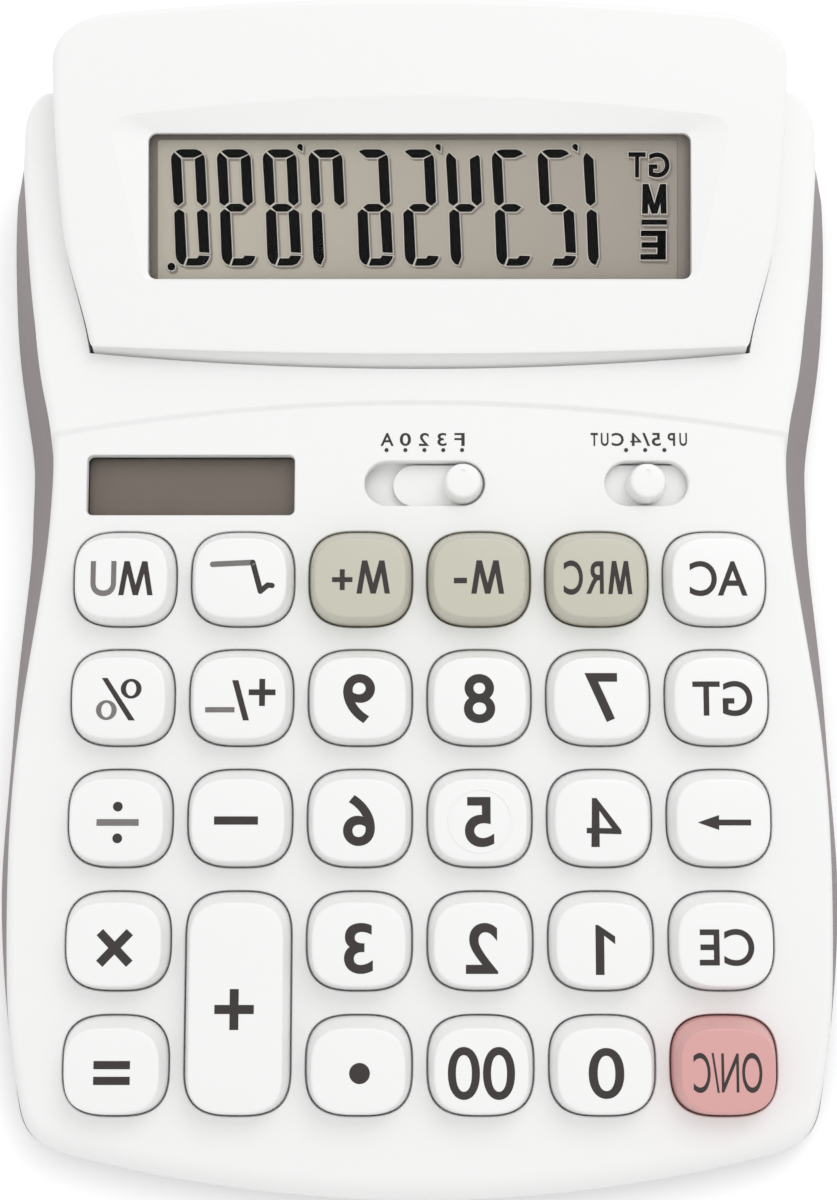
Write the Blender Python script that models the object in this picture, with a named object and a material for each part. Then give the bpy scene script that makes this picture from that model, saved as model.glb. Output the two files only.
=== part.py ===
"""A desktop calculator with a tilting display head, modelled piece by piece.

World frame: +X to the right of the photograph, +Y to the rear, +Z up, with the feet on z = 0 and
the origin below the middle of the object's box. Two tilted frames carry most pieces: the deck
frame, whose XY plane is the keyboard's top face, and the head frame, whose X axis is the hinge.
"""

import math

import bmesh
import bpy
import numpy as np

MM = 0.001

# Clearances, and how far tools run on past what they cut
GAP = 0.3 * MM
SLIDE_GAP = 0.35 * MM
HINGE_GAP = 0.4 * MM
HEAD_SIDE_GAP = 0.7 * MM
OVERRUN = 6.0 * MM
DECK_CUT = 3.0 * MM

# Case, seen from above
CASE_LENGTH = 188.0 * MM
CASE_HALF_WIDTH = 75.6 * MM
FRONT_BOW = 6.9 * MM
FRONT_MARGIN = 11.275 * MM
REAR_ZONE = 75.675 * MM
# Stations along the sides, before and behind the crease: how far along that stretch, then the
# half width of the deck, the parting line and the base.
FRONT_SIDE_shares = (
    (0.120, 0.868, 0.888, 0.896),
    (0.188, 0.890, 0.911, 0.918),
    (0.313, 0.905, 0.929, 0.947),
    (0.422, 0.908, 0.933, 0.958),
    (0.557, 0.899, 0.927, 0.951),
    (0.685, 0.876, 0.906, 0.944),
    (0.815, 0.845, 0.877, 0.930),
    (0.894, 0.833, 0.864, 0.924),
    (0.941, 0.830, 0.860, 0.925),
    (1.000, 0.833, 0.860, 0.927),
)
REAR_SIDE_shares = (
    (0.012, 0.839, 0.861, 0.928),
    (0.117, 0.853, 0.873, 0.941),
    (0.371, 0.885, 0.910, 0.976),
    (0.568, 0.902, 0.931, 0.991),
    (0.748, 0.912, 0.944, 0.999),
    (0.862, 0.915, 0.952, 1.000),
)
FRONT_FLAT_share = 0.75
# How far the parting line and the base reach behind the deck's rear edge, and how wide the
# rear corners are, for the deck, the parting line and the base.
REAR_LEAN = (0.0, 1.1 * MM, 2.8 * MM)
REAR_CORNER = (4.5 * MM, 7.2 * MM, 12.9 * MM)

# Case, seen from the side
DECK_SLOPE = math.radians(6.0)
DECK_FRONT_HEIGHT = 12.005 * MM
PARTING_SLOPE = math.radians(3.8)
PARTING_FRONT_HEIGHT = 4.495 * MM
FOOT_HEIGHT = 1.5 * MM
DECK_THICKNESS = 2.0 * MM
TOP_WALL = 1.8 * MM
BOTTOM_WALL = 3.0 * MM
FLOOR_THICKNESS = 2.0 * MM
LIP_HEIGHT = 1.5 * MM
LIP_LEAN = 0.6 * MM
SIDE_EDGE_RADIUS = 1.2 * MM
FRONT_EDGE_RADIUS = 4.0 * MM
BASE_EDGE_RADIUS = 1.5 * MM
REAR_RAISE = 0.6 * MM

# Keyboard
KEY_ROWS = (
    ("mark_up", "square_root", "memory_plus", "memory_minus", "memory_recall", "all_clear"),
    ("percent", "change_sign", "9", "8", "7", "grand_total"),
    ("divide", "minus", "6", "5", "4", "backspace"),
    ("multiply", "plus", "3", "2", "1", "clear_entry"),
    ("equals", None, "point", "double_zero", "0", "on_clear"),
)
GREY_KEYS = ("memory_plus", "memory_minus", "memory_recall")
PINK_KEYS = ("on_clear",)
TALL_KEYS = ("plus",)
KEYBOARD_SIDE_MARGIN = 15.6 * MM
COLUMN_PITCH = 2 * (CASE_HALF_WIDTH - KEYBOARD_SIDE_MARGIN) / len(KEY_ROWS[0])
ROW_PITCH = (CASE_LENGTH - FRONT_MARGIN - REAR_ZONE) / len(KEY_ROWS)
KEYBOARD_REAR = len(KEY_ROWS) / 2 * ROW_PITCH
CASE_FRONT = -KEYBOARD_REAR - FRONT_MARGIN
CASE_REAR = CASE_FRONT + CASE_LENGTH
DECK_HEIGHT = DECK_FRONT_HEIGHT - CASE_FRONT * math.tan(DECK_SLOPE)
PARTING_HEIGHT = PARTING_FRONT_HEIGHT - CASE_FRONT * math.tan(PARTING_SLOPE)
KEY_SPACE_ACROSS = 2.8 * MM
KEY_SPACE_ALONG = 4.21 * MM
KEY_WIDTH = COLUMN_PITCH - KEY_SPACE_ACROSS
KEY_LENGTH = ROW_PITCH - KEY_SPACE_ALONG
KEY_GAP = 0.3 * MM
KEY_HEIGHT = 5.2 * MM
KEY_WALL_TOP = 2.9 * MM
KEY_SHOULDER_TOP = 4.5 * MM
KEY_SHOULDER_ACROSS = 2.0 * MM
KEY_SHOULDER_ALONG = 2.6 * MM
KEY_TOP_SHIFT = 0.55 * MM
KEY_FLANGE_WIDTH = 0.9 * MM
KEY_FLANGE_THICKNESS = 1.0 * MM
KEY_EXPONENT = 3.0

# Deck behind the keyboard, up to the crease
CREASE_BEHIND_KEYS = 20.375 * MM
CREASE_MIDDLE = KEYBOARD_REAR + CREASE_BEHIND_KEYS
CREASE_BOW = 4.6 * MM
CREASE_FROM_SIDE = 12.8 * MM
CREASE_HALF_WIDTH = CASE_HALF_WIDTH - CREASE_FROM_SIDE
CREASE_DROP = 5.4 * MM
CREASE_SIDE = CREASE_MIDDLE - CREASE_DROP

# Keypad and main board, depths below the deck's top face
DOME_DIAMETER = 8.0 * MM
DOME_TOP_DIAMETER = 5.0 * MM
MEMBRANE_DEPTH = 5.4 * MM
MEMBRANE_THICKNESS = 0.8 * MM
BOARD_THICKNESS = 1.6 * MM
BOARD_SIDE_ROOM = 15.6 * MM
BOARD_HALF_WIDTH = CASE_HALF_WIDTH - BOARD_SIDE_ROOM
BOARD_FRONT_ROOM = 0.7 * MM
BOARD_FRONT = -KEYBOARD_REAR + BOARD_FRONT_ROOM
BOARD_BEHIND_KEYS = 14.3 * MM
BOARD_REAR = KEYBOARD_REAR + BOARD_BEHIND_KEYS
BOARD_CORNER = 3.0 * MM

# Slide switches
SLOT_BEHIND_KEYS = 6.475 * MM
SLOT_Y = KEYBOARD_REAR + SLOT_BEHIND_KEYS
SLOT_WIDTH = 7.7 * MM
SWITCH_STEP = 3.26 * MM
KNOB_DIAMETER = 6.8 * MM
KNOB_TOP_DIAMETER = 6.0 * MM
KNOB_HEIGHT = 2.4 * MM
KNOB_EDGE = 0.5 * MM
SLIDER_REACH = 11.9 * MM
SLIDER_THICKNESS = 1.0 * MM
TRAY_THICKNESS = 1.0 * MM
DECIMAL_SLOT_LENGTH = 20.6 * MM
DECIMAL_POSITIONS = 5
ROUNDING_SLOT_LENGTH = 14.3 * MM
ROUNDING_SLOT_FROM_SIDE = 36.8 * MM
SLOTS_APART = 37.95 * MM
ROUNDING_SLOT_X = CASE_HALF_WIDTH - ROUNDING_SLOT_FROM_SIDE
DECIMAL_SLOT_X = ROUNDING_SLOT_X - SLOTS_APART
DECIMAL_KNOB_X = DECIMAL_SLOT_X + (DECIMAL_POSITIONS - 1) / 2 * SWITCH_STEP
TRAY_LEFT = 2 * DECIMAL_SLOT_X - DECIMAL_KNOB_X - SLIDER_REACH - SLIDE_GAP
TRAY_RIGHT = ROUNDING_SLOT_X + SWITCH_STEP + SLIDER_REACH + SLIDE_GAP

# Solar cell, in the room left of the switches
SOLAR_FROM_SIDE = 18.7 * MM
SOLAR_TO_TRAY = 3.3 * MM
SOLAR_LEFT = -CASE_HALF_WIDTH + SOLAR_FROM_SIDE
SOLAR_RIGHT = TRAY_LEFT - SOLAR_TO_TRAY
SOLAR_LENGTH = SOLAR_RIGHT - SOLAR_LEFT
SOLAR_X = (SOLAR_LEFT + SOLAR_RIGHT) / 2
SOLAR_WIDTH = 10.4 * MM
SOLAR_BEHIND_KEYS = 6.175 * MM
SOLAR_Y = KEYBOARD_REAR + SOLAR_BEHIND_KEYS
SOLAR_CORNER = 1.0 * MM
SOLAR_FLANGE = 1.2 * MM
SOLAR_FLANGE_THICKNESS = 0.8 * MM
SOLAR_SINK = 0.3 * MM
SOLAR_CELL_THICKNESS = 1.1 * MM

# Hinge, in the deck frame, and the display head, in the head frame
APRON_LENGTH = 6.0 * MM
WELL_FRONT = CREASE_MIDDLE + APRON_LENGTH
HINGE_BEHIND_WELL_FRONT = 8.1 * MM
HINGE_Y = WELL_FRONT + HINGE_BEHIND_WELL_FRONT
HINGE_DEPTH = 4.5 * MM
HEAD_REST_TILT = math.radians(8.0)
HEAD_TILT_RANGE = math.radians(28.0)
HEAD_FROM_SIDE = 12.7 * MM
HEAD_HALF_WIDTH = CASE_HALF_WIDTH - HEAD_FROM_SIDE
WELL_CORNER_INSET = 5.8 * MM
WELL_CORNER = HEAD_HALF_WIDTH - WELL_CORNER_INSET
WELL_FRONT_BOW = 2.8 * MM
WELL_DEPTH = 11.0 * MM
HEAD_FACE = 8.9 * MM
HEAD_UNDERSIDE = 5.1 * MM
HEAD_REAR_RISE = 4.0 * MM
HEAD_REAR_RISE_LENGTH = 14.0 * MM
HEAD_REACH = 55.95 * MM
HEAD_REAR_BOW = 2.4 * MM
HEAD_CORNER = 10.9 * MM
HEAD_SIDE_shares = (
    (-0.180, 0.885),
    (-0.079, 0.895),
    (0.074, 0.927),
    (0.226, 0.962),
    (0.439, 0.984),
    (0.684, 0.998),
    (0.805, 1.000),
)
HEAD_DRAFT = 0.5 * MM
HEAD_EDGE_RADIUS = 1.4 * MM
FACE_FRONT = 5.74 * MM
FACE_FRONT_BOW = 1.35 * MM
FACE_THICKNESS = 2.4 * MM
HEAD_WALL = 2.0 * MM
PIN_DIAMETER = 4.0 * MM
PIN_BORE = 2.2 * MM
PIN_IN_HEAD = 5.5 * MM
HINGE_BOSS_DIAMETER = 7.6 * MM
HINGE_BOSS_LENGTH = 2.6 * MM

# Display
WINDOW_FROM_SIDE = 16.4 * MM
WINDOW_LENGTH = 2 * (HEAD_HALF_WIDTH - WINDOW_FROM_SIDE)
WINDOW_WIDTH = 25.2 * MM
WINDOW_Y = 20.36 * MM
WINDOW_CORNER = 1.5 * MM
BROW_SIDE = 6.4 * MM
BROW_HALF_WIDTH = WINDOW_LENGTH / 2 + BROW_SIDE
BROW_MARGIN = 2.74 * MM
BROW_Y = WINDOW_Y + WINDOW_WIDTH / 2 + BROW_MARGIN
BROW_BOW = 3.5 * MM
BROW_DEPTH = 1.3 * MM
SILL_DEPTH = 0.3 * MM
SILL_MARGIN = 0.3 * MM
LENS_FLANGE = 2.0 * MM
LENS_FLANGE_THICKNESS = 0.8 * MM
LENS_RISE = 0.6 * MM
GLASS_RIM = 3.7 * MM
GLASS_LENGTH = WINDOW_LENGTH + 2 * GLASS_RIM
GLASS_WIDTH = WINDOW_WIDTH + 2 * GLASS_RIM
GLASS_THICKNESS = 1.5 * MM
STRIP_WIDTH = 2.0 * MM
STRIP_HEIGHT = 0.8 * MM
DISPLAY_BOARD_PIN_ROOM = 2.8 * MM
DISPLAY_BOARD_REAR_ROOM = 15.1 * MM
DISPLAY_BOARD_THICKNESS = 1.2 * MM
CABLE_DIAMETER = 1.4 * MM
CABLE_PAST_PIN = 3.3 * MM

# Feet, screws and battery
FOOT_DIAMETER = 9.0 * MM
FOOT_RECESS = 0.7 * MM
FRONT_FOOT_FROM_SIDE = 19.6 * MM
FRONT_FOOT_FROM_FRONT = 15.8 * MM
REAR_FOOT_FROM_SIDE = 13.6 * MM
REAR_FOOT_FROM_REAR = 12.2 * MM
SCREW_ROW_MARGIN = 7.9 * MM
SCREW_BEHIND_BOARD = 3.8 * MM
REAR_SCREW_FROM_SIDE = 25.6 * MM
SCREW_DIAMETER = 2.0 * MM
SCREW_HEAD_DIAMETER = 3.8 * MM
SCREW_HEAD_HEIGHT = 1.4 * MM
SCREW_SINK = 0.8 * MM
SCREW_LENGTH = 6.6 * MM
POST_DIAMETER = 6.4 * MM
POST_HEIGHT = 3.6 * MM
BOSS_DIAMETER = 5.2 * MM
BATTERY_DIAMETER = 11.6 * MM
BATTERY_THICKNESS = 5.4 * MM
BATTERY_Y = HINGE_Y
DOOR_MARGIN = 4.2 * MM
DOOR_SCREW_MARGIN = 4.5 * MM
DOOR_WIDTH = BATTERY_DIAMETER + 2 * DOOR_MARGIN
DOOR_SCREW_Y = BATTERY_Y + BATTERY_DIAMETER / 2 + 2 * DOOR_SCREW_MARGIN
DOOR_FRONT = BATTERY_Y - BATTERY_DIAMETER / 2 - DOOR_MARGIN
DOOR_LENGTH = DOOR_SCREW_Y + DOOR_SCREW_MARGIN - DOOR_FRONT
DOOR_Y = DOOR_FRONT + DOOR_LENGTH / 2
DOOR_THICKNESS = 2.4 * MM
DOOR_CORNER = 2.0 * MM
DOOR_COUNTERBORE = 1.8 * MM
HOLDER_WALL = 2.0 * MM
HOLDER_ROOF = 1.4 * MM
CONTACT_THICKNESS = 0.4 * MM
CONTACT_WIDTH = 5.0 * MM
CONTACT_LENGTH = 9.0 * MM
NOTCH_DEPTH = 1.3 * MM

# Facets
ARC_STEPS = 7
CORNER_STEPS = 3
EDGE_STEPS = 2
ROUND_POINTS = 16
SMALL_ROUND_POINTS = 10
DOME_POINTS = 6
KEY_POINTS = 12
HEAD_SIDE_STEPS = 2
CABLE_STEPS = 3

WHITE = (0.86, 0.86, 0.85)
WARM_GREY = (0.26, 0.22, 0.23)
KEY_GREY = (0.51, 0.49, 0.38)
PINK = (0.73, 0.38, 0.39)


def clear_scene():
    for existing in list(bpy.data.objects):
        bpy.data.objects.remove(existing, do_unlink=True)


def make_material(name, colour, roughness, metallic=0.0, transmission=0.0):
    material = bpy.data.materials.new(name)
    material.use_nodes = True
    shader = material.node_tree.nodes["Principled BSDF"]
    shader.inputs["Base Color"].default_value = (*colour, 1.0)
    shader.inputs["Roughness"].default_value = roughness
    shader.inputs["Metallic"].default_value = metallic
    shader.inputs["Transmission Weight"].default_value = transmission
    return material


def make_empty(name, parent, location, tilt):
    empty = bpy.data.objects.new(name, None)
    bpy.context.scene.collection.objects.link(empty)
    empty.parent = parent
    empty.location = location
    empty.rotation_euler = (tilt, 0.0, 0.0)
    return empty


def place(name, mesh, parent, material=None, location=(0.0, 0.0, 0.0)):
    piece = bpy.data.objects.new(name, mesh)
    bpy.context.scene.collection.objects.link(piece)
    piece.parent = parent
    piece.location = location
    if material:
        mesh.materials.clear()
        mesh.materials.append(material)
    return piece


def tool(name, mesh, parent, location=(0.0, 0.0, 0.0)):
    """A cutter or an added volume, which isn't a piece of the object itself."""
    helper = place(name, mesh, parent, location=location)
    helper.hide_render = True
    helper.display_type = "WIRE"
    return helper


def combine(piece, other, operation):
    modifier = piece.modifiers.new(f"{operation.lower()}_{other.name}", "BOOLEAN")
    modifier.operation = operation
    modifier.object = other
    modifier.solver = "EXACT"


def cut(piece, *cutters):
    for cutter in cutters:
        combine(piece, cutter, "DIFFERENCE")


def add(piece, *volumes):
    for volume in volumes:
        combine(piece, volume, "UNION")


def mesh_of(name, points, faces):
    """A closed mesh whose faces point outwards, shaded smooth but for its sharp edges."""
    mesh = bpy.data.meshes.new(name)
    mesh.from_pydata([tuple(map(float, point)) for point in points], [], faces)
    work = bmesh.new()
    work.from_mesh(mesh)
    bmesh.ops.recalc_face_normals(work, faces=work.faces)
    work.to_mesh(mesh)
    work.free()
    mesh.shade_smooth()
    mesh.set_sharp_from_angle(angle=math.radians(35.0))
    return mesh


def loft(name, rings):
    """Rings of equal point counts, joined in order, with a flat face at each end."""
    count = len(rings[0])
    points = [point for ring in rings for point in ring]
    faces = []
    for level in range(len(rings) - 1):
        low = level * count
        high = low + count
        for i in range(count):
            j = (i + 1) % count
            faces.append((low + i, low + j, high + j, high + i))
    faces.append(tuple(reversed(range(count))))
    faces.append(tuple(range(len(points) - count, len(points))))
    return mesh_of(name, points, faces)


def flat_ring(outline, height):
    return [(x, y, height) for x, y in outline]


def prism(name, outline, low, high):
    return loft(name, [flat_ring(outline, low), flat_ring(outline, high)])


def several(name, parts):
    """One mesh that holds several separate closed shapes, as a tool for one Boolean."""
    work = bmesh.new()
    for mesh, location in parts:
        start = len(work.verts)
        work.from_mesh(mesh)
        work.verts.ensure_lookup_table()
        bmesh.ops.translate(work, verts=work.verts[start:], vec=location)
    joined = bpy.data.meshes.new(name)
    work.to_mesh(joined)
    work.free()
    return joined


def circle(diameter, count=ROUND_POINTS):
    angles = [2.0 * math.pi * i / count for i in range(count)]
    return [(diameter / 2 * math.cos(a), diameter / 2 * math.sin(a)) for a in angles]


def rounded_rectangle(length, width, radius, steps=CORNER_STEPS):
    """A rectangle about the origin with quarter-circle corners."""
    outline = []
    for turn, (side_x, side_y) in enumerate(((1, 1), (-1, 1), (-1, -1), (1, -1))):
        centre_x = side_x * (length / 2 - radius)
        centre_y = side_y * (width / 2 - radius)
        for step in range(steps + 1):
            angle = math.pi / 2 * (turn + step / steps)
            outline.append((centre_x + radius * math.cos(angle), centre_y + radius * math.sin(angle)))
    return outline


def stadium(length, width):
    """A strip with half-round ends, which are kept a hair apart so that no point repeats."""
    outline = []
    for turn, side in enumerate((1, -1)):
        for step in range(ARC_STEPS + 1):
            angle = math.pi * (turn + step / ARC_STEPS) - math.pi / 2
            centre = side * (length - width) / 2
            outline.append((centre + width / 2 * math.cos(angle), width / 2 * math.sin(angle)))
    return outline


def squircle(width, length, stretch=0.0, shift=0.0):
    """A superellipse, whose front and rear halves are moved apart by the stretch."""
    outline = []
    power = 2.0 / KEY_EXPONENT
    for i in range(KEY_POINTS):
        angle = 2.0 * math.pi * (i + 0.5) / KEY_POINTS
        across = math.copysign(abs(math.cos(angle)) ** power, math.cos(angle))
        along = math.copysign(abs(math.sin(angle)) ** power, math.sin(angle))
        apart = math.copysign(stretch / 2, along)
        outline.append((width / 2 * across, length / 2 * along + apart + shift))
    return outline


def smooth_through(points, steps):
    """A Catmull-Rom curve through the points, with extra points in each span."""
    first = 2 * np.array(points[0]) - np.array(points[1])
    last = 2 * np.array(points[-1]) - np.array(points[-2])
    padded = [first, *map(np.array, points), last]
    curve = []
    for a, b, c, d in zip(padded, padded[1:], padded[2:], padded[3:]):
        for step in range(steps):
            t = step / steps
            bend = (2 * a - 5 * b + 4 * c - d) * t**2 + (3 * b - a - 3 * c + d) * t**3
            curve.append(tuple((2 * b + (c - a) * t + bend) / 2))
    curve.append(tuple(points[-1]))
    return curve


def quarter(start, end, begins_level):
    """The points inside a quarter ellipse from start to end, level at its start or at its end."""
    inside = []
    for step in range(1, CORNER_STEPS + 1):
        angle = math.pi / 2 * step / (CORNER_STEPS + 1)
        rise, run = 1.0 - math.cos(angle), math.sin(angle)
        if begins_level:
            shares = (run, rise)
        else:
            shares = (rise, run)
        inside.append(tuple(s + (e - s) * share for s, e, share in zip(start, end, shares)))
    return inside


def whole_outline(right_half):
    """A right half from front centre to rear centre, with its mirror image."""
    left_half = [(-x, y) for x, y in reversed(right_half[1:-1])]
    return right_half + left_half


def normals_of(outline):
    """The outward direction at each point of an outline that runs anticlockwise."""
    points = np.array(outline)
    along = np.roll(points, -1, axis=0) - np.roll(points, 1, axis=0)
    outward = np.stack([along[:, 1], -along[:, 0]], axis=1)
    return outward / np.linalg.norm(outward, axis=1)[:, None]


def inset(outline, distance):
    """The outline moved inwards by one distance, or by one for each point."""
    moved = np.array(outline) - normals_of(outline) * np.reshape(distance, (-1, 1))
    return [tuple(point) for point in moved]


def case_outline(level):
    """The case seen from above: level 0 is the deck's edge, 1 the parting line, 2 the base."""
    def stations(table, start, end):
        return [(row[level + 1] * CASE_HALF_WIDTH, start + row[0] * (end - start)) for row in table]

    front_side = stations(FRONT_SIDE_shares, CASE_FRONT, CREASE_SIDE)
    rear_side = stations(REAR_SIDE_shares, CREASE_SIDE, CASE_REAR)
    flat_end = FRONT_FLAT_share * CASE_HALF_WIDTH
    bow = [
        (flat_end * share, CASE_FRONT + FRONT_BOW * share**2)
        for share in np.linspace(0.0, 1.0, CORNER_STEPS + 1)
    ]
    rear_y = CASE_REAR + REAR_LEAN[level]
    rear_end = (rear_side[-1][0] - REAR_CORNER[level], rear_y)
    right_half = bow
    right_half += quarter(bow[-1], front_side[0], begins_level=True)
    right_half += front_side
    right_half += rear_side
    right_half += quarter(rear_side[-1], rear_end, begins_level=False)
    right_half += [rear_end, (0.0, rear_y)]
    return whole_outline(right_half)


def deck_height(y):
    return DECK_HEIGHT + y * math.tan(DECK_SLOPE)


def parting_height(y):
    return PARTING_HEIGHT + y * math.tan(PARTING_SLOPE)


def ring_at(outline, height_at, shift=0.0):
    return [(x, y, height_at(y) + shift) for x, y in outline]


def outer_shell():
    """The solid volume of the upper case, with a rounded upper edge that is softest in front."""
    outline = case_outline(0)
    forward = np.maximum(0.0, -normals_of(outline)[:, 1])
    radii = SIDE_EDGE_RADIUS + (FRONT_EDGE_RADIUS - SIDE_EDGE_RADIUS) * forward
    rings = []
    for step in range(EDGE_STEPS + 1):
        angle = math.pi / 2 * step / EDGE_STEPS
        moved = inset(outline, radii * (1.0 - math.sin(angle)))
        drop = radii * (1.0 - math.cos(angle))
        rings.append([(x, y, deck_height(y) + REAR_RAISE - d) for (x, y), d in zip(moved, drop)])
    rings.append(ring_at(case_outline(1), parting_height))
    return loft("upper_case", rings)


def inner_hollow():
    """The room inside the upper case, which runs on below its open underside."""
    top = inset(case_outline(0), TOP_WALL)
    bottom = inset(case_outline(1), TOP_WALL)
    rings = [
        ring_at(top, deck_height, -DECK_THICKNESS),
        ring_at(bottom, parting_height),
        ring_at(bottom, parting_height, -OVERRUN),
    ]
    return loft("hollow", rings)


def well_front(x):
    """How far forward the well's front edge lies at x, in the deck frame."""
    return WELL_FRONT + WELL_FRONT_BOW * min(1.0, abs(x) / WELL_CORNER) ** 2


def well_radius(x):
    """From the hinge axis to the well's front edge at x."""
    return math.hypot(HINGE_Y - well_front(x), HINGE_DEPTH)


def face_front(x):
    """From the hinge axis forward to the face's front edge at x, in the head frame."""
    return FACE_FRONT - FACE_FRONT_BOW * min(1.0, abs(x) / WELL_CORNER) ** 2


def arc_about_axis(radius, start, end):
    """Points of an arc about the hinge axis, as (y, z), by their angle above straight ahead."""
    angles = np.linspace(start, end, ARC_STEPS + 1)
    return [(-radius * math.cos(a), radius * math.sin(a)) for a in angles]


def well_section(x, wall, ceiling):
    """The well cut across X: level floor, and a front wall that curves about the hinge axis."""
    radius = well_radius(x) + wall
    floor = -(WELL_DEPTH - HINGE_DEPTH) - wall
    brim = ceiling - GAP if wall else HINGE_DEPTH
    front = arc_about_axis(radius, math.asin(brim / radius), math.asin(floor / radius))
    far = CASE_LENGTH / 2
    return [(far, ceiling), (front[0][0], ceiling), *front, (far, floor)]


def head_section(x, wall, face, underside, ceiling):
    """The head cut across X: face, lip, a nose round the hinge axis, and the underside.

    The lip starts where the nose leaves the deck's surface when the head is tilted right up, and
    the nose ends where its underside would otherwise meet the well's floor.
    """
    radius = well_radius(x) - HINGE_GAP - wall
    if wall:
        start = math.asin(min(1.0, (face - GAP) / radius))
        front = [(-radius * math.cos(start), ceiling)]
    else:
        start = HEAD_TILT_RANGE + math.asin((HINGE_DEPTH + REAR_RAISE + HINGE_GAP) / radius)
        front = [(-face_front(x), ceiling), (-face_front(x), face)]
    room = WELL_DEPTH - HINGE_DEPTH - HINGE_GAP - wall
    end = HEAD_TILT_RANGE - math.asin(min(1.0, room / radius))
    nose = arc_about_axis(radius, start, end)
    heel = (room / math.cos(HEAD_TILT_RANGE) - underside) / math.tan(HEAD_TILT_RANGE)
    rear = HEAD_REACH + OVERRUN
    rise_start = HEAD_REACH - HEAD_REAR_RISE_LENGTH - wall
    rise = HEAD_REAR_RISE * (rear - rise_start) / HEAD_REAR_RISE_LENGTH
    under = [(-heel, -underside), (rise_start, -underside), (rear, -underside + rise)]
    return [(rear, ceiling), *front, *nose, *under]


def sweep(name, section_at):
    """Sections across X, joined from one side of the head to the other."""
    shares = (-1.25, -1.0, -0.8, -0.6, -0.4, -0.2, 0.0, 0.2, 0.4, 0.6, 0.8, 1.0, 1.25)
    rings = []
    for share in shares:
        x = share * WELL_CORNER
        rings.append([(x, y, z) for y, z in section_at(x)])
    return loft(name, rings)


def head_outline(distance):
    """The head seen square to its face, moved inwards by the distance."""
    side = [(row[1] * HEAD_HALF_WIDTH, row[0] * HEAD_REACH) for row in HEAD_SIDE_shares]
    flat_end = HEAD_HALF_WIDTH - HEAD_CORNER
    bow = [
        (flat_end * share, HEAD_REACH - HEAD_REAR_BOW * share**2)
        for share in np.linspace(1.0, 0.0, CORNER_STEPS + 1)
    ]
    right_half = [(0.0, side[0][1]), side[0]]
    right_half += smooth_through(side, HEAD_SIDE_STEPS)[1:]
    right_half += quarter(side[-1], bow[0], begins_level=False)
    right_half += bow
    outline = whole_outline(right_half)
    return inset(outline, distance)


def key_mesh(name, stretch):
    """A key cap on its flange: a steep wall, a sloped shoulder and a flat top near the front."""
    flange_top = -(DECK_THICKNESS + GAP)
    wide = 2 * KEY_FLANGE_WIDTH
    shoulder_width = KEY_WIDTH - 2 / 3 * KEY_SHOULDER_ACROSS
    shoulder_length = KEY_LENGTH - 2 / 3 * KEY_SHOULDER_ALONG
    levels = (
        (KEY_WIDTH + wide, KEY_LENGTH + wide, 0.0, flange_top - KEY_FLANGE_THICKNESS),
        (KEY_WIDTH + wide, KEY_LENGTH + wide, 0.0, flange_top),
        (KEY_WIDTH, KEY_LENGTH, 0.0, flange_top),
        (KEY_WIDTH - KEY_GAP, KEY_LENGTH - KEY_GAP, 0.0, KEY_WALL_TOP),
        (shoulder_width, shoulder_length, -KEY_TOP_SHIFT / 2, KEY_SHOULDER_TOP),
        (KEY_WIDTH - KEY_SHOULDER_ACROSS, KEY_LENGTH - KEY_SHOULDER_ALONG, -KEY_TOP_SHIFT, KEY_HEIGHT),
    )
    rings = [
        flat_ring(squircle(width, length, stretch, shift), height)
        for width, length, shift, height in levels
    ]
    return loft(name, rings)


def key_places():
    """Each key's name, centre in the deck frame, and how much longer than the others it is."""
    for row, names in enumerate(KEY_ROWS):
        for column, name in enumerate(names):
            if name:
                x = (column - (len(names) - 1) / 2) * COLUMN_PITCH
                y = ((len(KEY_ROWS) - 1) / 2 - row) * ROW_PITCH
                stretch = ROW_PITCH if name in TALL_KEYS else 0.0
                yield name, (x, y - stretch / 2), stretch


def build_keys(deck, materials):
    meshes = {}
    for name, (x, y), stretch in key_places():
        finish = "pink" if name in PINK_KEYS else "grey" if name in GREY_KEYS else "white"
        if (finish, stretch) not in meshes:
            meshes[finish, stretch] = key_mesh(f"{finish}_key", stretch)
        mesh = meshes[finish, stretch]
        place(f"key_{name}", mesh, deck, materials[f"{finish}_key"], (x, y, 0.0))


def key_openings():
    """All the holes that the keys come up through, as one cutter."""
    shapes = {}
    parts = []
    wide = 2 * KEY_GAP
    for _, (x, y), stretch in key_places():
        if stretch not in shapes:
            outline = squircle(KEY_WIDTH + wide, KEY_LENGTH + wide, stretch)
            shapes[stretch] = prism("key_opening", outline, -DECK_CUT, OVERRUN)
        parts.append((shapes[stretch], (x, y, 0.0)))
    return several("key_openings", parts)


def crease_outline():
    """The keyboard's share of the deck: all that lies in front of the bowed crease line."""
    far_x, far_y = CASE_HALF_WIDTH + OVERRUN, CASE_FRONT - OVERRUN
    shares = np.linspace(1.0, -1.0, 2 * ARC_STEPS + 1) * far_x / CREASE_HALF_WIDTH
    arc = [
        (share * CREASE_HALF_WIDTH, CREASE_MIDDLE - CREASE_BOW * share**2)
        for share in shares
    ]
    return [(-far_x, far_y), (far_x, far_y), *arc]


def screw_places():
    """The four case screws: name, x and y."""
    front_x = 3 / 2 * COLUMN_PITCH
    rear_x = CASE_HALF_WIDTH - REAR_SCREW_FROM_SIDE
    for side, word in ((-1, "left"), (1, "right")):
        yield f"front_{word}", side * front_x, CASE_FRONT + SCREW_ROW_MARGIN
        yield f"rear_{word}", side * rear_x, BOARD_REAR + SCREW_BEHIND_BOARD


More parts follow.
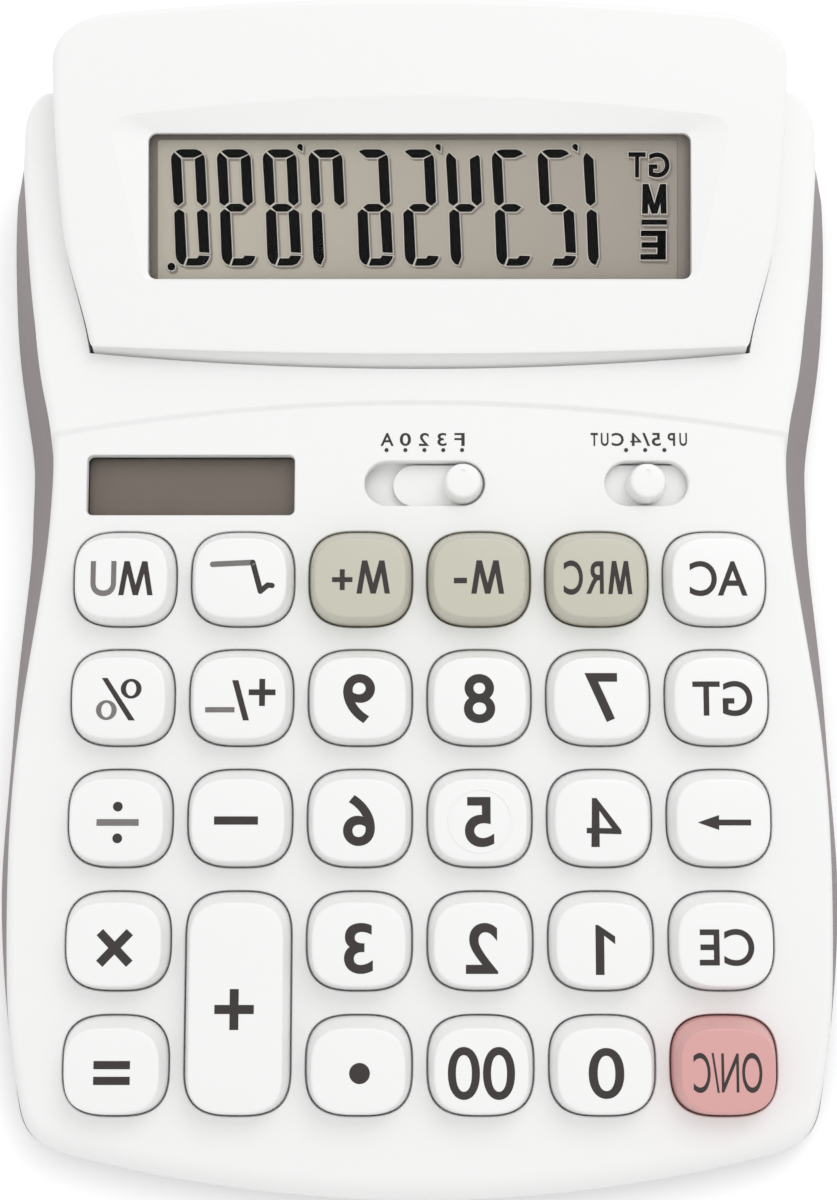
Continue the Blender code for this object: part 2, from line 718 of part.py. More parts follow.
def foot_places():
    front_x = CASE_HALF_WIDTH - FRONT_FOOT_FROM_SIDE
    rear_x = CASE_HALF_WIDTH - REAR_FOOT_FROM_SIDE
    for side, word in ((-1, "left"), (1, "right")):
        yield f"front_{word}", side * front_x, CASE_FRONT + FRONT_FOOT_FROM_FRONT
        yield f"rear_{word}", side * rear_x, CASE_REAR - REAR_FOOT_FROM_REAR


def rod_along_x(name, diameter, start, end, count=ROUND_POINTS):
    """A round bar on the hinge axis, between two values of x."""
    rings = [[(x, y, z) for y, z in circle(diameter, count)] for x in (start, end)]
    return loft(name, rings)


def head_side_at_axis():
    """The head's half width where the hinge axis passes through its sides."""
    rows = np.array(HEAD_SIDE_shares)
    return float(np.interp(0.0, rows[:, 0], rows[:, 1])) * HEAD_HALF_WIDTH


def well_wall_at_axis():
    return head_side_at_axis() + HEAD_SIDE_GAP


def pin_inner_end():
    """How far from the middle the hinge pins begin, inside the head."""
    return head_side_at_axis() - PIN_IN_HEAD


def boss_end():
    return well_wall_at_axis() + TOP_WALL + HINGE_BOSS_LENGTH


def build_top_case(frames, material):
    """The upper case: a shell with the key holes, slots, solar opening and the head's well."""
    base, deck, hinge = frames["base"], frames["deck"], frames["hinge"]
    case = place("top_case", outer_shell(), base, material)

    far = CASE_LENGTH
    pan_top = HINGE_DEPTH - DECK_THICKNESS / 2
    pan = tool("pan", sweep("pan", lambda x: well_section(x, TOP_WALL, pan_top)), hinge)
    pan_sides = head_outline(-HEAD_SIDE_GAP - TOP_WALL)
    combine(pan, tool("pan_sides", prism("pan_sides", pan_sides, -far, far), hinge), "INTERSECT")
    hollow = tool("hollow", inner_hollow(), base)
    cut(hollow, pan)

    well_top = HINGE_DEPTH + OVERRUN
    well = tool("well", sweep("well", lambda x: well_section(x, 0.0, well_top)), hinge)
    well_sides = head_outline(-HEAD_SIDE_GAP)
    combine(well, tool("well_sides", prism("well_sides", well_sides, -far, far), hinge), "INTERSECT")

    keyboard = prism("keyboard_level", crease_outline(), 0.0, OVERRUN)
    slots = []
    for length, x in ((DECIMAL_SLOT_LENGTH, DECIMAL_SLOT_X), (ROUNDING_SLOT_LENGTH, ROUNDING_SLOT_X)):
        slots.append((prism("slot", stadium(length, SLOT_WIDTH), -DECK_CUT, OVERRUN), (x, SLOT_Y, 0.0)))
    solar = rounded_rectangle(SOLAR_LENGTH, SOLAR_WIDTH, SOLAR_CORNER)
    slots.append((prism("solar_opening", solar, -DECK_CUT, OVERRUN), (SOLAR_X, SOLAR_Y, 0.0)))
    cut(
        case,
        hollow,
        tool("keyboard_level", keyboard, deck),
        tool("key_openings", key_openings(), deck),
        tool("slots", several("slots", slots), deck),
    )

    bosses = []
    bores = []
    for _, x, y in screw_places():
        boss_top = deck_height(y) - DECK_THICKNESS / 2
        bosses.append((prism("boss", circle(BOSS_DIAMETER), boss_bottom(), boss_top), (x, y, 0.0)))
        bore = circle(SCREW_DIAMETER + 2 * GAP, SMALL_ROUND_POINTS)
        bores.append((prism("bore", bore, 0.0, screw_tip() + GAP), (x, y, 0.0)))
    add(case, tool("screw_bosses", several("screw_bosses", bosses), base))
    hinge_bosses = []
    for side in (-1, 1):
        inner = side * (well_wall_at_axis() + TOP_WALL / 2)
        boss = rod_along_x("hinge_boss", HINGE_BOSS_DIAMETER, inner, side * boss_end())
        hinge_bosses.append((boss, (0.0, 0.0, 0.0)))
    add(case, tool("hinge_bosses", several("hinge_bosses", hinge_bosses), hinge))
    pin_hole = rod_along_x("pin_hole", PIN_DIAMETER + 2 * GAP, -boss_end() - GAP, boss_end() + GAP)
    cut(
        case,
        well,
        tool("screw_bores", several("screw_bores", bores), base),
        tool("pin_holes", pin_hole, hinge),
    )


def screw_seat():
    """The height of the shoulder that a case screw's head pulls against."""
    return FOOT_HEIGHT + SCREW_SINK + SCREW_HEAD_HEIGHT + GAP


def screw_tip():
    return screw_seat() - GAP + SCREW_LENGTH


def post_top():
    return FOOT_HEIGHT + FLOOR_THICKNESS + POST_HEIGHT


def boss_bottom():
    return post_top() + GAP


def build_bottom_case(base, material):
    """The lower case: a tray with a lip that stands inside the upper case's wall."""
    parting = case_outline(1)
    foundation = case_outline(2)
    floor = FOOT_HEIGHT + FLOOR_THICKNESS
    rings = []
    for step in range(EDGE_STEPS + 1):
        angle = math.pi / 2 * step / EDGE_STEPS
        moved = inset(foundation, BASE_EDGE_RADIUS * (1.0 - math.sin(angle)))
        rings.append(flat_ring(moved, FOOT_HEIGHT + BASE_EDGE_RADIUS * (1.0 - math.cos(angle))))
    lip_inner = inset(parting, BOTTOM_WALL)
    rings += [
        ring_at(parting, parting_height, -GAP),
        ring_at(inset(parting, TOP_WALL + GAP), parting_height, -GAP),
        ring_at(inset(parting, TOP_WALL + GAP + LIP_LEAN), parting_height, LIP_HEIGHT),
        ring_at(inset(parting, BOTTOM_WALL + LIP_LEAN), parting_height, LIP_HEIGHT),
        ring_at(lip_inner, parting_height, -GAP),
        flat_ring(inset(foundation, BOTTOM_WALL), floor),
    ]
    case = place("bottom_case", loft("bottom_case", rings), base, material)

    posts = []
    holes = []
    for _, x, y in screw_places():
        posts.append((prism("post", circle(POST_DIAMETER), FOOT_HEIGHT + GAP, post_top()), (x, y, 0.0)))
        bore = circle(SCREW_DIAMETER + 2 * GAP, SMALL_ROUND_POINTS)
        holes.append((prism("bore", bore, 0.0, post_top() + OVERRUN), (x, y, 0.0)))
    holder_length = DOOR_LENGTH + 2 * HOLDER_WALL
    holder_width = DOOR_WIDTH + 2 * HOLDER_WALL
    holder = rounded_rectangle(holder_width, holder_length, DOOR_CORNER)
    posts.append((prism("holder", holder, FOOT_HEIGHT + GAP, holder_top()), (0.0, DOOR_Y, 0.0)))
    add(case, tool("posts", several("posts", posts), base))

    wide = 2 * GAP
    sinks = []
    for _, x, y in screw_places():
        outline = circle(SCREW_HEAD_DIAMETER + wide, SMALL_ROUND_POINTS)
        sinks.append((prism("counterbore", outline, 0.0, screw_seat()), (x, y, 0.0)))
    for _, x, y in foot_places():
        outline = circle(FOOT_DIAMETER + wide)
        sinks.append((prism("foot_recess", outline, 0.0, FOOT_HEIGHT + FOOT_RECESS), (x, y, 0.0)))
    door = rounded_rectangle(DOOR_WIDTH + wide, DOOR_LENGTH + wide, DOOR_CORNER + GAP)
    sinks.append((prism("door_recess", door, 0.0, door_ceiling()), (0.0, DOOR_Y, 0.0)))
    pocket = prism("pocket", circle(BATTERY_DIAMETER + wide), FOOT_HEIGHT, holder_top() - HOLDER_ROOF)
    holes.append((pocket, (0.0, BATTERY_Y, 0.0)))
    notch = rounded_rectangle(NOTCH_DEPTH, CONTACT_WIDTH + wide, GAP)
    notch_mesh = prism("notch", notch, FOOT_HEIGHT, holder_top() - HOLDER_ROOF)
    door_screw_bore = circle(SCREW_DIAMETER + wide, SMALL_ROUND_POINTS)
    bore_top = door_screw_height() + SCREW_HEAD_HEIGHT + SCREW_LENGTH + GAP
    holes.append((prism("door_bore", door_screw_bore, FOOT_HEIGHT, bore_top), (0.0, DOOR_SCREW_Y, 0.0)))
    cut(
        case,
        tool("sinks", several("sinks", sinks), base),
        tool("holes", several("holes", holes), base),
        tool("notch", notch_mesh, base, (contact_x(), BATTERY_Y, 0.0)),
    )


def door_ceiling():
    return FOOT_HEIGHT + DOOR_THICKNESS + GAP


def holder_top():
    """The top of the battery holder's block, over the door, battery, contact and roof."""
    return door_ceiling() + BATTERY_THICKNESS + CONTACT_THICKNESS + 2 * GAP + HOLDER_ROOF


def contact_x():
    """The middle of the side contact, just outside the battery."""
    return BATTERY_DIAMETER / 2 + GAP + CONTACT_THICKNESS / 2


def door_screw_height():
    """The bottom of the door screw's head, which stands in the door's counterbore."""
    return FOOT_HEIGHT + DOOR_COUNTERBORE - GAP - SCREW_HEAD_HEIGHT


def screw_mesh():
    """A pan-head screw that points up, from the bottom of its head."""
    edge = SCREW_HEAD_HEIGHT / 3
    levels = (
        (SCREW_HEAD_DIAMETER - edge, 0.0),
        (SCREW_HEAD_DIAMETER, edge),
        (SCREW_HEAD_DIAMETER, SCREW_HEAD_HEIGHT),
        (SCREW_DIAMETER, SCREW_HEAD_HEIGHT),
        (SCREW_DIAMETER, SCREW_HEAD_HEIGHT + SCREW_LENGTH),
    )
    return loft("screw", [flat_ring(circle(wide, SMALL_ROUND_POINTS), z) for wide, z in levels])


def build_fasteners_and_feet(base, materials):
    screw = screw_mesh()
    for word, x, y in screw_places():
        place(f"case_screw_{word}", screw, base, materials["steel"], (x, y, FOOT_HEIGHT + SCREW_SINK))
    place("battery_door_screw", screw, base, materials["steel"], (0.0, DOOR_SCREW_Y, door_screw_height()))
    top = FOOT_HEIGHT + FOOT_RECESS - GAP
    edge = FOOT_HEIGHT / 3
    levels = ((FOOT_DIAMETER - 2 * edge, 0.0), (FOOT_DIAMETER, edge), (FOOT_DIAMETER, top))
    foot = loft("foot", [flat_ring(circle(wide), z) for wide, z in levels])
    for word, x, y in foot_places():
        place(f"foot_{word}", foot, base, materials["rubber"], (x, y, 0.0))


def build_battery(base, materials):
    """The cell, its two contacts, and the door that a screw holds."""
    outline = rounded_rectangle(DOOR_WIDTH, DOOR_LENGTH, DOOR_CORNER)
    door_mesh = prism("battery_door", outline, FOOT_HEIGHT, FOOT_HEIGHT + DOOR_THICKNESS)
    door = place("battery_door", door_mesh, base, materials["grey_case"], (0.0, DOOR_Y, 0.0))
    sink_outline = circle(SCREW_HEAD_DIAMETER + 2 * GAP, SMALL_ROUND_POINTS)
    bore_outline = circle(SCREW_DIAMETER + 2 * GAP, SMALL_ROUND_POINTS)
    sink = prism("door_sink", sink_outline, 0.0, FOOT_HEIGHT + DOOR_COUNTERBORE)
    bore = prism("door_hole", bore_outline, 0.0, FOOT_HEIGHT + DOOR_THICKNESS + OVERRUN)
    where = (0.0, DOOR_SCREW_Y, 0.0)
    cut(door, tool("door_sink", sink, base, where), tool("door_hole", bore, base, where))

    bottom = door_ceiling()
    top = bottom + BATTERY_THICKNESS
    edge = CONTACT_THICKNESS / 2
    levels = (
        (BATTERY_DIAMETER - 2 * edge, bottom),
        (BATTERY_DIAMETER, bottom + edge),
        (BATTERY_DIAMETER, top - edge),
        (BATTERY_DIAMETER - 2 * edge, top),
    )
    cell = loft("battery", [flat_ring(circle(wide), z) for wide, z in levels])
    place("battery", cell, base, materials["steel"], (0.0, BATTERY_Y, 0.0))

    strip = rounded_rectangle(CONTACT_LENGTH, CONTACT_WIDTH, GAP)
    upper = prism("contact", strip, top + GAP, top + GAP + CONTACT_THICKNESS)
    place("battery_contact_top", upper, base, materials["brass"], (0.0, BATTERY_Y, 0.0))
    strip = rounded_rectangle(CONTACT_THICKNESS, CONTACT_WIDTH, CONTACT_THICKNESS / 4)
    side = prism("contact", strip, bottom, top)
    place("battery_contact_side", side, base, materials["brass"], (contact_x(), BATTERY_Y, 0.0))


def key_bottom():
    return -(DECK_THICKNESS + GAP + KEY_FLANGE_THICKNESS)


def build_electronics(deck, materials):
    """The rubber keypad with a dome under each key, the board, and the solar cell."""
    middle = (BOARD_FRONT + KEYBOARD_REAR) / 2
    sheet = rounded_rectangle(2 * BOARD_HALF_WIDTH, KEYBOARD_REAR - BOARD_FRONT, BOARD_CORNER)
    sheet_bottom = -MEMBRANE_DEPTH - MEMBRANE_THICKNESS
    membrane_mesh = prism("keypad_membrane", sheet, sheet_bottom, -MEMBRANE_DEPTH)
    membrane = place("keypad_membrane", membrane_mesh, deck, materials["rubber"], (0.0, middle, 0.0))
    rings = [
        flat_ring(circle(DOME_DIAMETER, DOME_POINTS), -MEMBRANE_DEPTH - MEMBRANE_THICKNESS / 2),
        flat_ring(circle(DOME_TOP_DIAMETER, DOME_POINTS), key_bottom() - GAP),
    ]
    dome = loft("dome", rings)
    domes = [(dome, (x, y, 0.0)) for _, (x, y), _ in key_places()]
    add(membrane, tool("domes", several("domes", domes), deck))

    middle = (BOARD_FRONT + BOARD_REAR) / 2
    plate = rounded_rectangle(2 * BOARD_HALF_WIDTH, BOARD_REAR - BOARD_FRONT, BOARD_CORNER)
    top = sheet_bottom - GAP
    board = prism("main_board", plate, top - BOARD_THICKNESS, top)
    place("main_board", board, deck, materials["board"], (0.0, middle, 0.0))

    flange_top = -DECK_THICKNESS - GAP
    flange_bottom = flange_top - SOLAR_FLANGE_THICKNESS
    rim = 2 * SOLAR_FLANGE
    flange = rounded_rectangle(SOLAR_LENGTH + rim, SOLAR_WIDTH + rim, SOLAR_CORNER)
    plug = rounded_rectangle(SOLAR_LENGTH - 2 * GAP, SOLAR_WIDTH - 2 * GAP, SOLAR_CORNER)
    rings = [
        flat_ring(flange, flange_bottom),
        flat_ring(flange, flange_top),
        flat_ring(plug, flange_top),
        flat_ring(plug, -SOLAR_SINK),
    ]
    where = (SOLAR_X, SOLAR_Y, 0.0)
    place("solar_window", loft("solar_window", rings), deck, materials["clear"], where)
    cell_top = flange_bottom - GAP
    outline = rounded_rectangle(SOLAR_LENGTH, SOLAR_WIDTH, SOLAR_CORNER)
    cell = prism("solar_cell", outline, cell_top - SOLAR_CELL_THICKNESS, cell_top)
    place("solar_cell", cell, deck, materials["solar"], where)


def build_switches(deck, materials):
    """Two sliders, each a knob on a plate under the deck, and the tray that guides both."""
    top = -DECK_THICKNESS - GAP
    bottom = top - SLIDER_THICKNESS
    edge = KNOB_EDGE
    levels = (
        (KNOB_DIAMETER, bottom + edge),
        (KNOB_DIAMETER, 0.0),
        (KNOB_TOP_DIAMETER, KNOB_HEIGHT - edge),
        (KNOB_TOP_DIAMETER - edge, KNOB_HEIGHT),
    )
    plate_width = SLOT_WIDTH - 2 * GAP
    places = {
        "decimal_switch_slider": DECIMAL_KNOB_X,
        "rounding_switch_slider": ROUNDING_SLOT_X,
    }
    for name, x in places.items():
        plate = prism(name, stadium(2 * SLIDER_REACH, plate_width), bottom, top)
        slider = place(name, plate, deck, materials["white_case"], (x, SLOT_Y, 0.0))
        knob = loft("knob", [flat_ring(circle(wide), z) for wide, z in levels])
        add(slider, tool(f"{name}_knob", knob, deck, (x, SLOT_Y, 0.0)))

    middle = (TRAY_LEFT + TRAY_RIGHT) / 2
    channel_length = TRAY_RIGHT - TRAY_LEFT
    channel_width = plate_width + 2 * SLIDE_GAP
    floor = bottom - GAP
    wall = 2 * TRAY_THICKNESS
    outer = rounded_rectangle(channel_length + wall, channel_width + wall, TRAY_THICKNESS)
    inner = rounded_rectangle(channel_length, channel_width, TRAY_THICKNESS)
    rings = [
        flat_ring(outer, floor - TRAY_THICKNESS),
        flat_ring(outer, top),
        flat_ring(inner, top),
        flat_ring(inner, floor),
    ]
    place("switch_tray", loft("switch_tray", rings), deck, materials["white_case"], (middle, SLOT_Y, 0.0))


def head_block(name, wall, head):
    """The head's volume, or the hollow in it: its plan, crossed with its nose and underside."""
    face = HEAD_FACE
    low = -HEAD_UNDERSIDE - OVERRUN
    if wall:
        face -= FACE_THICKNESS
        rings = [flat_ring(head_outline(wall + HEAD_DRAFT), low), flat_ring(head_outline(wall), face)]
        ceiling = face
    else:
        rings = [flat_ring(head_outline(HEAD_DRAFT), low)]
        for step in range(EDGE_STEPS + 1):
            angle = math.pi / 2 * step / EDGE_STEPS
            moved = head_outline(HEAD_EDGE_RADIUS * (1.0 - math.cos(angle)))
            rings.append(flat_ring(moved, face - HEAD_EDGE_RADIUS * (1.0 - math.sin(angle))))
        ceiling = face + OVERRUN
    plan = tool(f"{name}_plan", loft(f"{name}_plan", rings), head)
    underside = HEAD_UNDERSIDE - wall
    section = sweep(name, lambda x: head_section(x, wall, face, underside, ceiling))
    combine(plan, tool(f"{name}_section", section, head), "INTERSECT")
    return plan


def brow_cutter():
    """The dished field round the window: level at its sill, deepest under the bowed brow."""
    shares = np.linspace(1.0, -1.0, 2 * CORNER_STEPS + 1)
    low = WINDOW_Y - WINDOW_WIDTH / 2
    high = WINDOW_Y + WINDOW_WIDTH / 2
    half = WINDOW_LENGTH / 2
    wide = half + SILL_MARGIN
    sill = [(-half, low, HEAD_FACE - SILL_DEPTH), (half, low, HEAD_FACE - SILL_DEPTH)]
    sill += [(half * share, high, HEAD_FACE - BROW_DEPTH) for share in shares]
    field = [(-wide, low - SILL_MARGIN), (wide, low - SILL_MARGIN)]
    field += [(BROW_HALF_WIDTH * share, BROW_Y + BROW_BOW * (1.0 - share**2)) for share in shares]
    return loft("brow", [sill, flat_ring(field, HEAD_FACE), flat_ring(field, HEAD_FACE + OVERRUN)])


def build_head(head, materials):
    """The two shells of the display head, split along the hinge axis."""
    window = rounded_rectangle(WINDOW_LENGTH, WINDOW_WIDTH, WINDOW_CORNER)
    window_cutter = prism("window_cut", window, 0.0, HEAD_FACE + OVERRUN)
    bore = rod_along_x("head_bore", PIN_DIAMETER + 2 * GAP, -HEAD_HALF_WIDTH, HEAD_HALF_WIDTH)
    far = CASE_LENGTH
    halves = {"head_front": (-far, GAP / 2), "head_back": (-GAP / 2, far)}
    for name, (low, high) in halves.items():
        shell = head_block(name, 0.0, head)
        shell.name = name
        shell.hide_render = False
        shell.display_type = "TEXTURED"
        shell.data.materials.append(materials["white_case"])
        other_half = prism("other_half", rounded_rectangle(far, far, GAP), low, high)
        cut(
            shell,
            head_block(f"{name}_hollow", HEAD_WALL, head),
            tool(f"{name}_other_half", other_half, head),
            tool(f"{name}_bore", bore, head),
        )
        if name == "head_front":
            where = (0.0, WINDOW_Y, 0.0)
            cut(shell, tool("brow", brow_cutter(), head), tool("window_cut", window_cutter, head, where))


def build_display(head, materials):
    """What lies behind the window: clear lens, liquid-crystal glass, rubber connector, board."""
    inner_face = HEAD_FACE - FACE_THICKNESS
    flange_top = inner_face - GAP
    flange_bottom = flange_top - LENS_FLANGE_THICKNESS
    rim = 2 * LENS_FLANGE
    flange = rounded_rectangle(WINDOW_LENGTH + rim, WINDOW_WIDTH + rim, WINDOW_CORNER)
    plug = rounded_rectangle(WINDOW_LENGTH - 2 * GAP, WINDOW_WIDTH - 2 * GAP, WINDOW_CORNER)
    rings = [
        flat_ring(flange, flange_bottom),
        flat_ring(flange, flange_top),
        flat_ring(plug, flange_top),
        flat_ring(plug, inner_face + LENS_RISE),
    ]
    where = (0.0, WINDOW_Y, 0.0)
    place("display_window", loft("display_window", rings), head, materials["clear"], where)

    glass_top = flange_bottom - GAP
    glass_bottom = glass_top - GLASS_THICKNESS
    outline = rounded_rectangle(GLASS_LENGTH, GLASS_WIDTH, GAP)
    place("lcd_glass", prism("lcd_glass", outline, glass_bottom, glass_top), head, materials["lcd"], where)

    strip_top = glass_bottom - GAP
    strip_bottom = strip_top - STRIP_HEIGHT
    strip_y = WINDOW_Y - GLASS_WIDTH / 2 + STRIP_WIDTH
    outline = rounded_rectangle(WINDOW_LENGTH, STRIP_WIDTH, GAP)
    strip = prism("lcd_connector_strip", outline, strip_bottom, strip_top)
    place("lcd_connector_strip", strip, head, materials["rubber"], (0.0, strip_y, 0.0))

    board_top = strip_bottom - GAP
    board_front = strip_y - 3 * STRIP_WIDTH
    board_rear = HEAD_REACH - DISPLAY_BOARD_REAR_ROOM
    board_length = 2 * (pin_inner_end() - DISPLAY_BOARD_PIN_ROOM)
    outline = rounded_rectangle(board_length, board_rear - board_front, GAP)
    board = prism("display_board", outline, board_top - DISPLAY_BOARD_THICKNESS, board_top)
    where = (0.0, (board_front + board_rear) / 2, 0.0)
    place("display_board", board, head, materials["board"], where)


def build_hinge(frames, materials):
    """Two pins on the hinge axis, one of them hollow for the cable that feeds the display."""
    start = pin_inner_end()
    end = boss_end() - GAP
    for word, side in (("left", -1), ("right", 1)):
        mesh = rod_along_x(f"hinge_pin_{word}", PIN_DIAMETER, side * start, side * end)
        pin = place(f"hinge_pin_{word}", mesh, frames["head"], materials["steel"])
        if side < 0:
            outer_end = side * (end + OVERRUN)
            bore = rod_along_x("pin_bore", PIN_BORE, outer_end, 0.0, SMALL_ROUND_POINTS)
            cut(pin, tool("pin_bore", bore, frames["head"]))

    under_board = -(MEMBRANE_DEPTH + MEMBRANE_THICKNESS + BOARD_THICKNESS + 2 * GAP)
    low = under_board - CABLE_DIAMETER / 2
    arm_x = -boss_end() - CABLE_DIAMETER
    route = [
        (-pin_inner_end() + CABLE_PAST_PIN, HINGE_Y, -HINGE_DEPTH),
        (-boss_end(), HINGE_Y, -HINGE_DEPTH),
        (arm_x, HINGE_Y - CABLE_DIAMETER, -HINGE_DEPTH - CABLE_DIAMETER),
        (arm_x, HINGE_Y - 3 * CABLE_DIAMETER, (low - HINGE_DEPTH) / 2),
        (arm_x + CABLE_DIAMETER, (HINGE_Y + BOARD_REAR) / 2 + CABLE_DIAMETER, low),
        (-BOARD_HALF_WIDTH + CABLE_DIAMETER, BOARD_REAR + CABLE_DIAMETER, low),
        (-BOARD_HALF_WIDTH + 2 * CABLE_DIAMETER, BOARD_REAR - 2 * CABLE_DIAMETER, low),
    ]
    curve = bpy.data.curves.new("display_cable", "CURVE")
    curve.dimensions = "3D"
    curve.bevel_depth = CABLE_DIAMETER / 2
    curve.bevel_resolution = 2
    curve.use_fill_caps = True
    points = [route[0], *smooth_through(route[1:], CABLE_STEPS)]
    spline = curve.splines.new("POLY")
    spline.points.add(len(points) - 1)
    for target, point in zip(spline.points, points):
        target.co = (*point, 1.0)
    curve.materials.append(materials["rubber"])
    cable = bpy.data.objects.new("display_cable", curve)
    bpy.context.scene.collection.objects.link(cable)
    cable.parent = frames["deck"]


def centre_on_origin(base):
    """Moves the whole object so that its box, which the case and head set, is over the origin."""
    bpy.context.view_layer.update()
    graph = bpy.context.evaluated_depsgraph_get()
    clouds = []
    for piece in bpy.context.scene.objects:
        if piece.type == "MESH" and not piece.hide_render:
            shown = piece.evaluated_get(graph)
            flat = np.empty(3 * len(shown.data.vertices))
            shown.data.vertices.foreach_get("co", flat)
            matrix = np.array(shown.matrix_world)
            clouds.append(flat.reshape(-1, 3) @ matrix[:3, :3].T + matrix[:3, 3])
    cloud = np.concatenate(clouds)
    middle = (cloud.min(axis=0) + cloud.max(axis=0)) / 2
    base.location = (-middle[0], -middle[1], 0.0)


def build():
    clear_scene()
    materials = {
        "white_case": make_material("white_case", WHITE, 0.42),
        "grey_case": make_material("grey_case", WARM_GREY, 0.5),
        "white_key": make_material("white_key", WHITE, 0.35),
        "grey_key": make_material("grey_key", KEY_GREY, 0.35),
        "pink_key": make_material("pink_key", PINK, 0.35),
        "rubber": make_material("rubber", (0.05, 0.05, 0.05), 0.8),
        "steel": make_material("steel", (0.6, 0.6, 0.6), 0.3, metallic=1.0),
        "brass": make_material("brass", (0.75, 0.6, 0.3), 0.35, metallic=1.0),
        "board": make_material("board", (0.03, 0.2, 0.08), 0.5),
        "solar": make_material("solar", (0.16, 0.13, 0.10), 0.3),
        "lcd": make_material("lcd", (0.35, 0.33, 0.27), 0.3),
        "clear": make_material("clear", (0.9, 0.9, 0.9), 0.1, transmission=1.0),
    }
    base = make_empty("calculator", None, (0.0, 0.0, 0.0), 0.0)
    deck = make_empty("deck_frame", base, (0.0, 0.0, DECK_HEIGHT), DECK_SLOPE)
    hinge = make_empty("hinge_frame", deck, (0.0, HINGE_Y, -HINGE_DEPTH), 0.0)
    head = make_empty("head_frame", hinge, (0.0, 0.0, 0.0), HEAD_REST_TILT)
    frames = {"base": base, "deck": deck, "hinge": hinge, "head": head}
    build_top_case(frames, materials["white_case"])
    build_bottom_case(base, materials["grey_case"])
    build_keys(deck, materials)
    build_electronics(deck, materials)
    build_switches(deck, materials)
    build_battery(base, materials)
    build_fasteners_and_feet(base, materials)
    build_head(head, materials)
    build_display(head, materials)
    build_hinge(frames, materials)
    centre_on_origin(base)


build()
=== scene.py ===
"""A desktop calculator with a tilting display head, seen from above on a white floor."""
import math

import bmesh
import bpy
import numpy as np
from mathutils import Matrix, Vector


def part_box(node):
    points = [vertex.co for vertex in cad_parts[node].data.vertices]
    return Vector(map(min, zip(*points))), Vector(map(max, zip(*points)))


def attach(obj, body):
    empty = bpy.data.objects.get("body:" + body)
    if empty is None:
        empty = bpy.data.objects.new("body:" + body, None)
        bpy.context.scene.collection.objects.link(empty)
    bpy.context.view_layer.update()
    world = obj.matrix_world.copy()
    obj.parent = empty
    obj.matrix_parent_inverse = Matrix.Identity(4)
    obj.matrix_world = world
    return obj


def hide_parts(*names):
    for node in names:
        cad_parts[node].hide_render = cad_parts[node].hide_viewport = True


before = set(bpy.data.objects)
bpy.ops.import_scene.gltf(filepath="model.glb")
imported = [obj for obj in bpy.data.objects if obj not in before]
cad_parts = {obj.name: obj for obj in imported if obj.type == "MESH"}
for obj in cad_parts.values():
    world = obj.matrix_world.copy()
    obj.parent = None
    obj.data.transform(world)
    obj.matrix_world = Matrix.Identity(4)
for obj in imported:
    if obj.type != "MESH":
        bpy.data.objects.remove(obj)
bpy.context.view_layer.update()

MM = 0.001

# Places and angles of the model's own frames
BASE_Y = -38.7745 * MM
DECK_HEIGHT = 18.5 * MM
DECK_SLOPE = math.radians(6.0)
PARTING_HEIGHT = 8.6 * MM
PARTING_SLOPE = math.radians(3.8)
HINGE_Y = 85.0 * MM
HINGE_DEPTH = 4.5 * MM
HEAD_TILT = math.radians(8.0)
TILT_RANGE = math.radians(28.0)
FACE = 8.9 * MM

DECK = Matrix.Translation((0.0, BASE_Y, DECK_HEIGHT)) @ Matrix.Rotation(DECK_SLOPE, 4, "X")
BASE = Matrix.Translation((0.0, BASE_Y, 0.0))
HINGE = DECK @ Matrix.Translation((0.0, HINGE_Y, -HINGE_DEPTH))
HEAD = HINGE @ Matrix.Rotation(HEAD_TILT, 4, "X")

# Clearances, and how far a cutting shape runs past a surface or past the whole object
GAP = 0.3 * MM
HINGE_GAP = 0.4 * MM
WELL_SIDE_GAP = 0.7 * MM
PAST = 6.0 * MM
FAR = 200.0 * MM

# The legends run from right to left, as in the photograph: 1 would turn them the other way
MIRROR = -1.0


# Arrays and meshes

def lerp(a, b, t):
    """From a to b: a plus the share t of their difference."""
    return a + (b - a) * t


def smooth_step(t):
    """Rises from 0 to 1 with level ends: three t squared less two t cubed."""
    t = np.clip(t, 0.0, 1.0)
    return t * t * (3.0 - 2.0 * t)


def spline(points, count):
    """A natural cubic spline through the points, at even steps of the chord length."""
    points = np.asarray(points, float)
    knots = np.r_[0.0, np.cumsum(np.linalg.norm(np.diff(points, axis=0), axis=1))]
    spans = np.diff(knots)
    size = len(points)
    system = np.eye(size)
    bends = np.zeros_like(points)
    for i in range(1, size - 1):
        system[i, i - 1:i + 2] = spans[i - 1], 2 * (spans[i - 1] + spans[i]), spans[i]
        slopes = np.diff(points[i - 1:i + 2], axis=0) / spans[i - 1:i + 1, None]
        bends[i] = 6 * (slopes[1] - slopes[0])
    bends = np.linalg.solve(system, bends)
    at = np.linspace(0.0, knots[-1], count)
    span = np.clip(np.searchsorted(knots, at, side="right") - 1, 0, size - 2)
    width = spans[span][:, None]
    after = (at - knots[span])[:, None]
    before = width - after
    bent = (bends[span] * before**3 + bends[span + 1] * after**3) / (6 * width)
    straight = (points[span] / width - bends[span] * width / 6) * before
    straight += (points[span + 1] / width - bends[span + 1] * width / 6) * after
    return bent + straight


CORNER_PULL = 0.56


